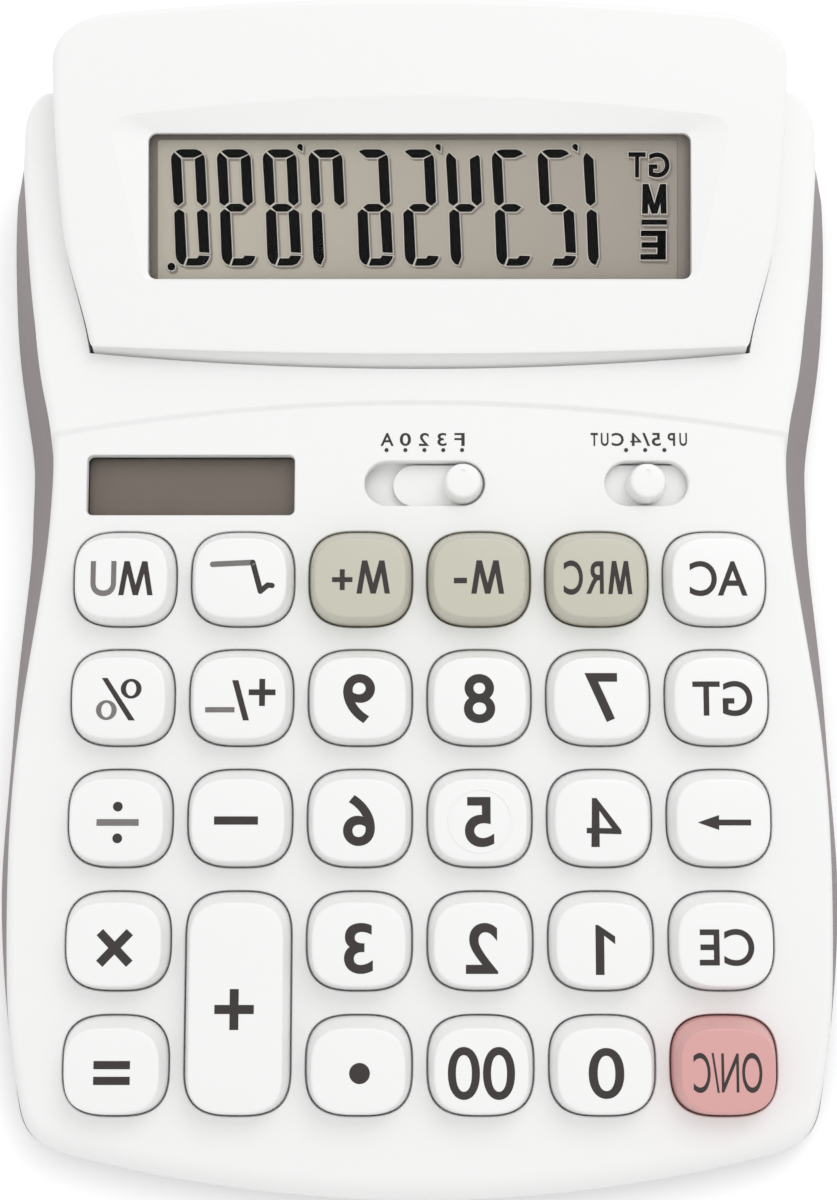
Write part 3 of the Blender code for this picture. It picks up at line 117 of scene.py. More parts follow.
def corner(start, heading, end, arrival, count):
    """A cubic curve from start to end that leaves along heading and arrives along arrival."""
    start, heading, end, arrival = (np.asarray(v, float) for v in (start, heading, end, arrival))
    heading, arrival = heading / np.linalg.norm(heading), arrival / np.linalg.norm(arrival)
    t = np.linspace(0.0, 1.0, count)[:, None]
    pull = CORNER_PULL * np.abs(end - start)
    out = start + heading * (pull @ np.abs(heading))
    back = end - arrival * (pull @ np.abs(arrival))
    return start * (1 - t)**3 + out * 3 * t * (1 - t)**2 + back * 3 * t * t * (1 - t) + end * t**3


def outward_of(outline):
    """The outward direction at each point of a closed outline that runs anticlockwise."""
    along = np.roll(outline, -1, axis=0) - np.roll(outline, 1, axis=0)
    outward = np.stack([along[:, 1], -along[:, 0]], axis=1)
    return outward / np.linalg.norm(outward, axis=1)[:, None]


def inset(outline, distance):
    """Each point moved inwards by the distance, or by its own one."""
    return outline - outward_of(outline) * np.reshape(distance, (-1, 1))


def ring(outline, height):
    """The outline at one height, or at one for each of its points."""
    return np.column_stack([outline, np.broadcast_to(height, len(outline))])


def rounded_edge(outline, inward, base, rise, count):
    """Rings up a quarter round: the inset goes by one less the cosine, the height by the sine."""
    angles = np.linspace(0.0, np.pi / 2, count)
    return [ring(inset(outline, inward * (1 - math.cos(a))), base + rise * math.sin(a)) for a in angles]


def circle(diameter, count=48):
    """The cosine and the sine of even angles, times the radius, anticlockwise."""
    angle = 2 * np.pi * np.arange(count) / count
    return np.column_stack([np.cos(angle), np.sin(angle)]) * diameter / 2


def rounded_box(length, width, radius, steps=8):
    """A rectangle with quarter-circle corners, anticlockwise from the lower right corner."""
    turns = np.repeat(np.arange(4), steps + 1)
    angle = np.pi / 2 * (turns - 1 + np.tile(np.linspace(0.0, 1.0, steps + 1), 4))
    centre_x = np.array([1, 1, -1, -1])[turns] * (length / 2 - radius)
    centre_y = np.array([-1, 1, 1, -1])[turns] * (width / 2 - radius)
    return np.column_stack([centre_x + radius * np.cos(angle), centre_y + radius * np.sin(angle)])


def stadium(length, width, steps=20):
    """A strip with half-round ends: two half circles, apart by its length less its width."""
    turns = np.repeat([0, 1], steps + 1)
    angle = np.pi * (turns + np.tile(np.linspace(0.0, 1.0, steps + 1), 2)) - np.pi / 2
    centre = np.array([1, -1])[turns] * (length - width) / 2
    return np.column_stack([centre + width / 2 * np.cos(angle), width / 2 * np.sin(angle)])


def turn_outwards(mesh):
    """Turns the faces of one closed skin outwards."""
    work = bmesh.new()
    work.from_mesh(mesh)
    bmesh.ops.recalc_face_normals(work, faces=work.faces)
    work.to_mesh(mesh)
    work.free()


def new_object(name, data):
    made = bpy.data.objects.new(name, data)
    bpy.context.scene.collection.objects.link(made)
    return made


def make_piece(name, mesh, finish, smooth=30.0):
    """An object at the origin, shaded smooth where its faces meet below an angle."""
    mesh.shade_smooth()
    mesh.set_sharp_from_angle(angle=math.radians(smooth))
    mesh.materials.append(FINISHES[finish])
    return new_object(name, mesh)


def final_mesh(working):
    """What a working object comes to, as a mesh of its own; the object goes."""
    graph = bpy.context.evaluated_depsgraph_get()
    mesh = bpy.data.meshes.new_from_object(working.evaluated_get(graph))
    bpy.data.objects.remove(working)
    return mesh


def ring_quads(index):
    """The faces between rows of points that each run all the way round."""
    upper, lower = index[:-1], index[1:]
    quads = np.stack([upper, lower, np.roll(lower, -1, axis=1), np.roll(upper, -1, axis=1)], axis=-1)
    return quads.reshape(-1, 4).tolist()


def loft(name, rings, matrix=None, closed_along=False):
    """A closed skin over rings of equal point count: its ends are capped, or joined together."""
    rings = np.asarray(rings, float)
    index = np.arange(rings.size // 3).reshape(rings.shape[:2])
    if closed_along:
        faces = ring_quads(np.concatenate([index, index[:1]]))
    else:
        faces = ring_quads(index) + [index[0].tolist(), index[-1][::-1].tolist()]
    mesh = bpy.data.meshes.new(name)
    mesh.from_pydata(rings.reshape(-1, 3).tolist(), [], faces)
    turn_outwards(mesh)
    if matrix:
        mesh.transform(matrix)
    return mesh


def prism(name, outline, low, high, matrix=None):
    """An outline carried straight up from one height to another."""
    return loft(name, [ring(outline, low), ring(outline, high)], matrix)


def frame_between(name, outer, inner, low, high, matrix=None):
    """A flat band between two outlines of equal point count."""
    rings = [ring(outer, low), ring(outer, high), ring(inner, high), ring(inner, low)]
    return loft(name, rings, matrix, closed_along=True)


def points_of(mesh):
    """The places of all points, one row for each."""
    points = np.empty(len(mesh.vertices) * 3)
    mesh.vertices.foreach_get("co", points)
    return points.reshape(-1, 3)


def move_points(mesh, points):
    """Puts each point where its row says."""
    mesh.vertices.foreach_set("co", points.ravel())
    mesh.update()


def join_meshes(name, meshes):
    """Several skins as one mesh, not welded."""
    work = bmesh.new()
    for mesh in meshes:
        work.from_mesh(mesh)
    joined = bpy.data.meshes.new(name)
    work.to_mesh(joined)
    work.free()
    return joined


def boolean(mesh, other, operation):
    """The mesh less, plus or crossed with the other, as a new mesh."""
    working = new_object("work", mesh.copy())
    cutter = new_object("cutter", other.copy())
    modifier = working.modifiers.new(operation, "BOOLEAN")
    modifier.operation = operation
    modifier.solver = "EXACT"
    modifier.object = cutter
    result = final_mesh(working)
    bpy.data.objects.remove(cutter)
    return result


def make_shell(name, mesh, finish, body):
    """A moulded shell in place of the CAD node of that name.

    Its normals are weighted by area, so that big flat faces stay flat beside small rounded ones.
    """
    piece = make_piece(f"{name}_shell", mesh, finish)
    modifier = piece.modifiers.new("weighted", "WEIGHTED_NORMAL")
    modifier.keep_sharp = True
    modifier.weight = 100
    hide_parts(name)
    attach(piece, body)


# Materials

def node(tree, kind, **values):
    """A shader node, its values set by the names of its settings or of its inputs."""
    made = tree.nodes.new(kind)
    for key, value in values.items():
        if hasattr(made, key):
            setattr(made, key, value)
        else:
            made.inputs[key.replace("_", " ")].default_value = value
    return made


# Noise cells per metre, how far the gloss drifts, and the lightest tone that a colour reaches
BROAD_SCALE = 28.0
FINE_SCALE = 420.0
GLOSS_DRIFT = 0.05
LIGHTEST = 0.95
BUMP_STRENGTH = 0.25


def moulded(name, colour, roughness, grain, depth, spread, specular=0.5):
    """Moulded plastic: a slow drift of tone, an uneven gloss and a fine grain.

    The mean of a broad and a fine noise moves the colour between two tones, the fine one moves
    the roughness, and a third, at the grain's size in millimetres, gives a bump of that depth.
    """
    material = bpy.data.materials.new(name)
    material.use_nodes = True
    tree = material.node_tree
    shader = tree.nodes["Principled BSDF"]
    shader.inputs["Specular IOR Level"].default_value = specular
    place = node(tree, "ShaderNodeTexCoord")
    broad = node(tree, "ShaderNodeTexNoise", Scale=BROAD_SCALE, Detail=3.0)
    fine = node(tree, "ShaderNodeTexNoise", Scale=FINE_SCALE, Detail=4.0)
    grains = node(tree, "ShaderNodeTexNoise", Scale=1.0 / (grain * MM), Detail=2.0)
    tone = node(tree, "ShaderNodeMix", data_type="RGBA")
    dark = [c * (1.0 - spread) for c in colour]
    light = [min(LIGHTEST, c * (1.0 + spread)) for c in colour]
    tone.inputs[6].default_value = (*dark, 1.0)
    tone.inputs[7].default_value = (*light, 1.0)
    mixed = node(tree, "ShaderNodeMath", operation="ADD")
    half = node(tree, "ShaderNodeMath", operation="MULTIPLY")
    half.inputs[1].default_value = 0.5
    gloss = node(tree, "ShaderNodeMapRange")
    gloss.inputs["To Min"].default_value = roughness - GLOSS_DRIFT
    gloss.inputs["To Max"].default_value = roughness + GLOSS_DRIFT
    bump = node(tree, "ShaderNodeBump", Strength=BUMP_STRENGTH, Distance=depth * MM)
    link = tree.links.new
    for noise in (broad, fine, grains):
        link(place.outputs["Object"], noise.inputs["Vector"])
    link(broad.outputs[0], mixed.inputs[0])
    link(fine.outputs[0], mixed.inputs[1])
    link(mixed.outputs[0], half.inputs[0])
    link(half.outputs[0], tone.inputs[0])
    link(tone.outputs[2], shader.inputs["Base Color"])
    link(fine.outputs[0], gloss.inputs["Value"])
    link(gloss.outputs[0], shader.inputs["Roughness"])
    link(grains.outputs[0], bump.inputs["Height"])
    link(bump.outputs[0], shader.inputs["Normal"])
    return material


def metal(name, colour, roughness):
    """Bright metal: the same drift of tone and gloss as the plastic, in wider steps."""
    material = moulded(name, colour, roughness, grain=0.3, depth=0.004, spread=0.12)
    tree = material.node_tree
    tree.nodes["Principled BSDF"].inputs["Metallic"].default_value = 1.0
    return material


def glassy(name, colour, roughness, veil):
    """Clear plastic: a thin veil of its own colour and gloss over what lies behind it."""
    material = moulded(name, colour, roughness, grain=0.5, depth=0.002, spread=0.01)
    shader = material.node_tree.nodes["Principled BSDF"]
    shader.inputs["Alpha"].default_value = veil
    return material


def paint_shade_across(material, colour, start, end):
    """Paints shade: turns the colour evenly into another one between two values of X."""
    tree = material.node_tree
    shader = tree.nodes["Principled BSDF"]
    first = shader.inputs["Base Color"].links[0].from_socket
    place = node(tree, "ShaderNodeTexCoord")
    split = node(tree, "ShaderNodeSeparateXYZ")
    share = node(tree, "ShaderNodeMapRange")
    share.inputs["From Min"].default_value = start
    share.inputs["From Max"].default_value = end
    blend = node(tree, "ShaderNodeMix", data_type="RGBA")
    blend.inputs[7].default_value = (*colour, 1.0)
    tree.links.new(place.outputs["Object"], split.inputs[0])
    tree.links.new(split.outputs["X"], share.inputs["Value"])
    tree.links.new(share.outputs[0], blend.inputs[0])
    tree.links.new(first, blend.inputs[6])
    tree.links.new(blend.outputs[2], shader.inputs["Base Color"])


# Colour, roughness, size and depth of the grain in millimetres, and how far the tone spreads
PLASTICS = {
    "white_case": ((0.865, 0.865, 0.86), 0.42, 0.12, 0.02, 0.012),
    "white_key": ((0.87, 0.87, 0.865), 0.3, 0.2, 0.008, 0.01),
    "grey_case": ((0.235, 0.203, 0.207), 0.48, 0.15, 0.03, 0.06),
    "grey_key": ((0.55, 0.535, 0.445), 0.3, 0.2, 0.008, 0.02),
    "pink_key": ((0.68, 0.36, 0.35), 0.3, 0.2, 0.008, 0.02),
    "rubber": ((0.04, 0.04, 0.042), 0.75, 0.2, 0.03, 0.2),
    "board": ((0.03, 0.17, 0.07), 0.45, 0.4, 0.02, 0.15),
    "solar": ((0.155, 0.125, 0.1), 0.3, 0.4, 0.004, 0.1),
    "lcd": ((0.47, 0.435, 0.36), 0.4, 0.3, 0.004, 0.03),
    # Painted shade: the dark frame that stands for the shaded inner walls of the display's window
    "lcd_wall_shade": ((0.175, 0.15, 0.125), 0.5, 0.3, 0.004, 0.06),
    "lcd_light": ((0.63, 0.6, 0.54), 0.4, 0.3, 0.002, 0.03),
    "lcd_shade": ((0.21, 0.18, 0.155), 0.4, 0.3, 0.002, 0.05),
    "lcd_dark": ((0.003, 0.003, 0.003), 0.4, 0.3, 0.0005, 0.3, 0.0),
    "ink": ((0.042, 0.036, 0.035), 0.5, 0.1, 0.006, 0.25, 0.25),
    "worn_ink": ((0.17, 0.16, 0.155), 0.5, 0.1, 0.006, 0.3),
}
FINISHES = {name: moulded(name, *values) for name, values in PLASTICS.items()}
FINISHES["steel"] = metal("steel", (0.6, 0.6, 0.59), 0.3)
FINISHES["brass"] = metal("brass", (0.72, 0.55, 0.28), 0.32)
FINISHES["clear"] = glassy("clear", (0.5, 0.5, 0.49), 0.05, 0.008)
# Painted shade: the display's backing darkens evenly from left to right
paint_shade_across(FINISHES["lcd"], (0.32, 0.285, 0.245), -40 * MM, 46 * MM)
# Painted shade: the dark frame round the display lightens from left to right
paint_shade_across(FINISHES["lcd_wall_shade"], (0.25, 0.22, 0.19), -20 * MM, 44 * MM)


def finish_cad_nodes():
    """Every node of the model gets the procedural material that its slot is named after."""
    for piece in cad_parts.values():
        for slot in piece.material_slots:
            slot_name = slot.material.name.split(".")[0]
            slot.material = FINISHES.get(slot_name, FINISHES["white_case"])


# The case

CASE_HALF_WIDTH = 75.6 * MM
CASE_FRONT = -61.8 * MM
CASE_REAR = 126.2 * MM
FRONT_BOW = 6.9 * MM
CREASE_SIDE = 65.5 * MM
FLAT_SHARE = 0.75
# How far along the side, then the half width of the deck, the parting line and the base
FRONT_SIDE = np.array((
    (0.120, 0.868, 0.888, 0.896),
    (0.188, 0.890, 0.911, 0.918),
    (0.313, 0.905, 0.929, 0.947),
    (0.422, 0.908, 0.933, 0.958),
    (0.557, 0.899, 0.927, 0.951),
    (0.685, 0.876, 0.906, 0.944),
    (0.815, 0.845, 0.877, 0.930),
    (0.894, 0.833, 0.864, 0.924),
    (0.941, 0.830, 0.860, 0.925),
    (1.000, 0.833, 0.860, 0.927),
))
REAR_SIDE = np.array((
    (0.117, 0.853, 0.873, 0.941),
    (0.371, 0.885, 0.910, 0.976),
    (0.568, 0.902, 0.931, 0.991),
    (0.748, 0.912, 0.944, 0.999),
    (0.862, 0.915, 0.952, 1.000),
))
REAR_LEAN = (0.0, 1.1 * MM, 2.8 * MM)
REAR_CORNER = (4.5 * MM, 7.2 * MM, 12.9 * MM)
SIDE_EDGE = 1.2 * MM
FRONT_EDGE = 4.0 * MM
EDGE_RINGS = 9
CASE_WALL = 1.8 * MM
DECK_THICKNESS = 2.0 * MM
# The step along the crease: its length, height and stand-out, and where that fades behind it
STEP_ROWS = 5
STEP_LENGTH = 0.9 * MM
STEP_RISE = 0.6 * MM
STEP_OUT = 0.45 * MM
STEP_FADE = 30.0 * MM
CREASE_MIDDLE = 70.9 * MM
CREASE_POINTS = 60
# How many points the stretches of the outline have
BOW_POINTS = 25
FRONT_CORNER_POINTS = 22
SIDE_POINTS = 80
REAR_SIDE_POINTS = 41
SPLINE_POINTS = 400
REAR_CORNER_POINTS = 18
BACK_POINTS = 12
CREASE_START = BOW_POINTS + FRONT_CORNER_POINTS - 2 + SIDE_POINTS


def case_side(level):
    """One side of the case from front to rear, with a row of close points at the crease."""
    rows = [(r[level + 1] * CASE_HALF_WIDTH, lerp(CASE_FRONT, CREASE_SIDE, r[0])) for r in FRONT_SIDE]
    rows += [(r[level + 1] * CASE_HALF_WIDTH, lerp(CREASE_SIDE, CASE_REAR, r[0])) for r in REAR_SIDE]
    fine = spline(rows, SPLINE_POINTS)
    before = np.linspace(fine[0, 1], CREASE_SIDE - STEP_LENGTH, SIDE_POINTS, endpoint=False)
    across = np.linspace(CREASE_SIDE - STEP_LENGTH, CREASE_SIDE, STEP_ROWS)
    after = np.linspace(CREASE_SIDE, fine[-1, 1], REAR_SIDE_POINTS)[1:]
    y = np.concatenate([before, across, after])
    return np.column_stack([np.interp(y, fine[:, 1], fine[:, 0]), y])


def case_outline(level):
    """The case seen from above: level 0 is the deck's edge, 1 the parting line, 2 the base.

    The right half runs from the front's middle along its bow, round the corner, up the side
    and round the rear corner, and the left half is its mirror image.
    """
    flat_end = FLAT_SHARE * CASE_HALF_WIDTH
    share = np.linspace(0.0, 1.0, BOW_POINTS)
    bow = np.column_stack([flat_end * share, CASE_FRONT + FRONT_BOW * share**2])
    side = case_side(level)
    front = corner(bow[-1], (flat_end, 2 * FRONT_BOW), side[0], side[1] - side[0], FRONT_CORNER_POINTS)
    rear_y = CASE_REAR + REAR_LEAN[level]
    rear_end = np.array((side[-1, 0] - REAR_CORNER[level], rear_y))
    rear = corner(side[-1], side[-1] - side[-2], rear_end, (-1.0, 0.0), REAR_CORNER_POINTS)
    back = np.linspace(rear_end, (0.0, rear_y), BACK_POINTS)
    right = np.concatenate([bow, front[1:-1], side, rear[1:], back[1:]])
    left = right[1:-1][::-1] * (-1.0, 1.0)
    return np.concatenate([right, left])


def deck_height(y):
    """The keyboard's plane: its height at the middle keys, plus y times its slope's tangent."""
    return DECK_HEIGHT + y * math.tan(DECK_SLOPE)


def parting_height(y):
    """The plane between the two shells, at its own height and slope."""
    return PARTING_HEIGHT + y * math.tan(PARTING_SLOPE)


def upper_edge(outline):
    """Rings from the deck's flat faces down round their edge, and then the parting line.

    The edge's section is a quarter circle whose radius grows from the sides to the front: the
    inset is the radius times one less the angle's sine, and the drop times one less its cosine.
    Behind the crease the rings are raised by the step, and stand out in a way that fades.
    """
    forward = np.maximum(0.0, -outward_of(outline)[:, 1])
    radius = lerp(SIDE_EDGE, FRONT_EDGE, forward)
    behind = smooth_step((outline[:, 1] - CREASE_SIDE + STEP_LENGTH) / STEP_LENGTH)
    out = (behind - smooth_step((outline[:, 1] - CREASE_SIDE) / STEP_FADE)) * STEP_OUT
    rings = []
    for angle in np.linspace(0.0, np.pi / 2, EDGE_RINGS):
        moved = inset(outline, radius * (1 - math.sin(angle)))
        moved[:, 0] += np.sign(moved[:, 0]) * out
        drop = radius * (1 - math.cos(angle))
        rings.append(ring(moved, deck_height(moved[:, 1]) + behind * STEP_RISE - drop))
    parting = case_outline(1)
    rings.append(ring(parting, parting_height(parting[:, 1])))
    return rings


def crease_row(step, end):
    """One row of points over the step along the crease, from the right end to the left one.

    It bows to the rear by one less the square of the way out from the middle, and the rows
    climb from the keyboard to the rear deck by a smooth step.
    """
    share = np.linspace(1.0, -1.0, CREASE_POINTS + 2)[1:-1]
    y = end[1] + (CREASE_MIDDLE - CREASE_SIDE) * (1 - share**2)
    z = deck_height(y) + smooth_step(step / (STEP_ROWS - 1)) * STEP_RISE
    return np.column_stack([end[0] * share, y, z])


def outer_shell():
    """The upper case as one closed skin: two deck faces, the step between, the edge and a base."""
    outline = case_outline(0)
    count = len(outline)
    rings = upper_edge(outline)
    index = np.arange(len(rings) * count).reshape(-1, count)
    points = list(rings)
    lines = []
    for step in range(STEP_ROWS):
        right = CREASE_START + step
        points.append(crease_row(step, rings[0][right]))
        inner = index.size + np.arange(CREASE_POINTS) + CREASE_POINTS * step
        lines.append(np.r_[index[0, right], inner, index[0, -right]])
    faces = ring_quads(index) + [index[-1][::-1].tolist()]
    for a, b in zip(lines, lines[1:]):
        faces += np.stack([a[:-1], b[:-1], b[1:], a[1:]], axis=-1).tolist()
    last = CREASE_START + STEP_ROWS
    keyboard = index[0, 1 - CREASE_START:].tolist() + index[0, :CREASE_START].tolist()
    rear_deck = index[0, last:count - last + 1].tolist()
    faces += [keyboard + lines[0].tolist(), rear_deck + lines[-1][::-1].tolist()]
    mesh = bpy.data.meshes.new("upper_case")
    mesh.from_pydata(np.concatenate(points).tolist(), [], faces)
    turn_outwards(mesh)
    mesh.transform(BASE)
    return mesh


def inner_hollow():
    """The room inside the upper case, open below."""
    top = inset(case_outline(0), CASE_WALL)
    bottom = inset(case_outline(1), CASE_WALL)
    parting = parting_height(bottom[:, 1])
    ceiling = deck_height(top[:, 1]) - DECK_THICKNESS
    rings = [ring(top, ceiling), ring(bottom, parting), ring(bottom, parting - PAST)]
    return loft("hollow", rings, BASE)


# The display head and the well that it turns in

HEAD_HALF_WIDTH = 62.9 * MM
HEAD_REACH = 55.95 * MM
WELL_CORNER = 57.1 * MM
WELL_FRONT = 76.9 * MM
WELL_BOW = 2.8 * MM
WELL_DEPTH = 11.0 * MM
FACE_FRONT = 5.74 * MM
FACE_BOW = 1.35 * MM
UNDERSIDE = 5.1 * MM
REAR_RISE = 4.0 * MM
REAR_RISE_LENGTH = 14.0 * MM
FACE_THICKNESS = 2.4 * MM
HEAD_WALL = 2.0 * MM
HEAD_EDGE = 1.4 * MM
HEAD_DRAFT = 0.5 * MM
HEAD_CORNER = 10.9 * MM
HEAD_BOW = 2.4 * MM
LIP_RADIUS = 1.5 * MM
# How far along the head's reach, counted from the hinge axis, then its half width
HEAD_SIDE = np.array((
    (-0.180, 0.885),
    (-0.079, 0.895),
    (0.074, 0.927),
    (0.226, 0.962),
    (0.439, 0.984),
    (0.684, 0.998),
    (0.805, 1.000),
))
# How many points the stretches of its outline have, then its rings, lip and sections
HEAD_SIDE_POINTS = 60
HEAD_BOW_POINTS = 25
HEAD_CORNER_POINTS = 20
HEAD_FRONT_POINTS = 12
HEAD_EDGE_RINGS = 9
LIP_POINTS = 9
SECTIONS = 61
SECTIONS_REACH = 1.25 * WELL_CORNER
ARC_POINTS = 33


def head_outline(distance):
    """The head seen square to its face, moved inwards by a distance."""
    side = spline(HEAD_SIDE[:, ::-1] * (HEAD_HALF_WIDTH, HEAD_REACH), HEAD_SIDE_POINTS)
    share = np.linspace(1.0, 0.0, HEAD_BOW_POINTS)
    bow = np.column_stack([(HEAD_HALF_WIDTH - HEAD_CORNER) * share, HEAD_REACH - HEAD_BOW * share**2])
    turn = corner(side[-1], (0.0, 1.0), bow[0], bow[1] - bow[0], HEAD_CORNER_POINTS)
    front = np.linspace((0.0, side[0, 1]), side[0], HEAD_FRONT_POINTS, endpoint=False)
    right = np.concatenate([front, side, turn[1:-1], bow])
    left = right[1:-1][::-1] * (-1.0, 1.0)
    return inset(np.concatenate([right, left]), distance)


def well_radius(x):
    """From the hinge axis to the well's front edge, which bows back towards its corners."""
    front = WELL_FRONT + WELL_BOW * min(1.0, abs(x) / WELL_CORNER)**2
    return math.hypot(HINGE_Y - front, HINGE_DEPTH)


def arc_about_axis(radius, start, end):
    """An arc in front of the hinge axis: minus the cosine along Y, and the sine upwards."""
    angle = np.linspace(start, end, ARC_POINTS)
    return np.column_stack([-radius * np.cos(angle), radius * np.sin(angle)])


def well_section(x, wall, ceiling):
    """The well cut across X: level floor, and a front wall that curves about the hinge axis."""
    radius = well_radius(x) + wall
    floor = HINGE_DEPTH - WELL_DEPTH - wall
    brim = ceiling - GAP if wall else HINGE_DEPTH
    front = arc_about_axis(radius, math.asin(brim / radius), math.asin(floor / radius))
    return np.concatenate([[(FAR, ceiling), (front[0, 0], ceiling)], front, [(FAR, floor)]])


def head_section(x, wall, face, underside, ceiling):
    """The head cut across X: face, rounded lip, a nose about the hinge axis, and underside."""
    radius = well_radius(x) - HINGE_GAP - wall
    if wall:
        start = math.asin(min(1.0, (face - GAP) / radius))
        front = np.array([(-radius * math.cos(start), ceiling)])
    else:
        start = TILT_RANGE + math.asin((HINGE_DEPTH + STEP_RISE + HINGE_GAP) / radius)
        edge = FACE_FRONT - FACE_BOW * min(1.0, abs(x) / WELL_CORNER)**2
        front = lip_profile(edge, face, (-radius * math.cos(start), radius * math.sin(start)), ceiling)
    room = WELL_DEPTH - HINGE_DEPTH - HINGE_GAP - wall
    end = TILT_RANGE - math.asin(min(1.0, room / radius))
    nose = arc_about_axis(radius, start, end)
    heel = (room / math.cos(TILT_RANGE) - underside) / math.tan(TILT_RANGE)
    rear = HEAD_REACH + PAST
    rise_start = HEAD_REACH - REAR_RISE_LENGTH - wall
    rise = REAR_RISE * (rear - rise_start) / REAR_RISE_LENGTH
    under = [(-heel, -underside), (rise_start, -underside), (rear, -underside + rise)]
    return np.concatenate([[(rear, ceiling)], front, nose, under])


def lip_profile(edge, face, foot, ceiling):
    """The edge between the face and the lip, rounded by a parabola that touches both."""
    tip = np.array((-edge, face))
    towards = (foot - tip) / np.linalg.norm(foot - tip)
    first = tip + np.array((LIP_RADIUS, 0.0))
    last = tip + towards * LIP_RADIUS
    t = np.linspace(0.0, 1.0, LIP_POINTS)[:, None]
    curve = first * (1 - t)**2 + tip * 2 * t * (1 - t) + last * t * t
    return np.concatenate([[(first[0], ceiling)], curve])


def sweep(name, section_at, matrix):
    """Sections across X, joined from one side of the head to the other."""
    rings = []
    for x in np.linspace(-SECTIONS_REACH, SECTIONS_REACH, SECTIONS):
        section = section_at(x)
        rings.append(np.column_stack([np.full(len(section), x), section]))
    return loft(name, rings, matrix)


def well_volume(wall, ceiling):
    """The well, or with a wall the pan round it, within the head's own outline."""
    room = sweep("well", lambda x: well_section(x, wall, ceiling), HINGE)
    sides = prism("well_sides", head_outline(-WELL_SIDE_GAP - wall), -FAR, FAR, HINGE)
    return boolean(room, sides, "INTERSECT")


def head_volume(wall):
    """The head, or with a wall the hollow in it: its plan, crossed with its nose and underside."""
    face = FACE - (FACE_THICKNESS if wall else 0.0)
    rings = [ring(head_outline(wall + HEAD_DRAFT), -UNDERSIDE - PAST)]
    if wall:
        rings.append(ring(head_outline(wall), face + MM))
        ceiling = face
    else:
        edge = head_outline(0.0)
        rings += rounded_edge(edge, HEAD_EDGE, face - HEAD_EDGE, HEAD_EDGE, HEAD_EDGE_RINGS)
        ceiling = face + PAST
    plan = loft("head_plan", rings, HEAD)
    section = sweep("head", lambda x: head_section(x, wall, face, UNDERSIDE - wall, ceiling), HEAD)
    return boolean(plan, section, "INTERSECT")


WINDOW_LENGTH = 93.0 * MM
WINDOW_WIDTH = 25.2 * MM
WINDOW_Y = 20.36 * MM
WINDOW_CORNER = 1.5 * MM
SILL_DEPTH = 0.3 * MM
BROW_DEPTH = 1.3 * MM
# The dished field's rim: half widths and heights of its lower and upper edge, and its bow
SILL_HALF, SILL_Y = 47.6 * MM, WINDOW_Y - WINDOW_WIDTH / 2 - 0.35 * MM
BROW_HALF, BROW_Y, BROW_BOW = 52.9 * MM, 35.7 * MM, 3.46 * MM
SILL_CORNER, BROW_CORNER = 1.8 * MM, 3.0 * MM
# The cutter's lowest ring, as a share of the window
FIELD_FLOOR = 0.9
# Where the field's climb eases off, by how much, and the steps from the window to the rim
EASE_START, EASE = 0.8, 0.06
FIELD_STEPS = (0.0, 0.3, 0.6, 0.85, 0.93, 1.0)


def framed(half, low, high, radius_low, radius_high, upper_half, bow):
    """A four-sided outline with rounded corners, leaning sides and a top that bows up.

    The right half runs from the middle of the bottom edge to the middle of the top one.
    """
    turn = np.linspace(0.0, np.pi / 2, 9)
    turning = np.column_stack([np.cos(turn), np.sin(turn)])
    bottom = np.linspace((0.0, low), (half - radius_low, low), 8, endpoint=False)
    low_centre = np.array((half - radius_low, low + radius_low))
    low_corner = low_centre + turning[:, ::-1] * (radius_low, -radius_low)
    side = np.linspace((half, low + radius_low), (upper_half, high - radius_high), 12)[1:-1]
    high_corner = np.array((upper_half - radius_high, high - radius_high)) + turning * radius_high
    share = np.linspace(1.0, 0.0, 24)[1:]
    top = np.column_stack([(upper_half - radius_high) * share, high + bow * (1 - share**2)])
    right = np.concatenate([bottom, low_corner, side, high_corner, top])
    left = right[1:-1][::-1] * (-1.0, 1.0)
    return np.concatenate([right, left])


def window_outline():
    """The window's opening, with upright sides and four equal corners."""
    half, low, high = WINDOW_LENGTH / 2, WINDOW_Y - WINDOW_WIDTH / 2, WINDOW_Y + WINDOW_WIDTH / 2
    return framed(half, low, high, WINDOW_CORNER, WINDOW_CORNER, half, 0.0)


def brow_cutter():
    """The dished field round the window.

    Its rim is the bowed brow above, leaning sides, and a line close under the window. Each ray
    from the window's edge to the rim climbs straight from its depth to the face, and eases off
    over its last fifth; the depth grows evenly from the sill to the brow.
    """
    inner = window_outline()
    outer = framed(SILL_HALF, SILL_Y, BROW_Y, SILL_CORNER, BROW_CORNER, BROW_HALF, BROW_BOW)
    depth = lerp(SILL_DEPTH, BROW_DEPTH, (inner[:, 1] - WINDOW_Y) / WINDOW_WIDTH + 0.5)
    centre = np.array((0.0, WINDOW_Y))
    rings = [ring(centre + (inner - centre) * FIELD_FLOOR, FACE - depth)]
    for t in FIELD_STEPS:
        last_part = 1 - EASE_START
        climb = t - EASE * smooth_step((t - EASE_START) / last_part) * (1 - t) / last_part
        rings.append(ring(lerp(inner, outer, t), FACE - depth * (1 - climb)))
    rings.append(ring(outer, FACE + PAST))
    return loft("brow", rings, HEAD)


def build_head():
    """Both shells of the head, split along the hinge axis, with the window's field in front."""
    body = head_volume(0.0)
    body = boolean(body, head_volume(HEAD_WALL), "DIFFERENCE")
    halves = {"head_front": (-FAR, GAP / 2), "head_back": (-GAP / 2, FAR)}
    for name, (low, high) in halves.items():
        other = prism("other_half", rounded_box(FAR, FAR, MM), low, high, HEAD)
        shell = boolean(body, other, "DIFFERENCE")
        if name == "head_front":
            shell = boolean(shell, brow_cutter(), "DIFFERENCE")
            window = prism("window_cut", window_outline(), 0.0, FACE + PAST, HEAD)
            shell = boolean(shell, window, "DIFFERENCE")
        make_shell(name, shell, "white_case", "display_head")


# Printed marks, in millimetres until they are laid on a face

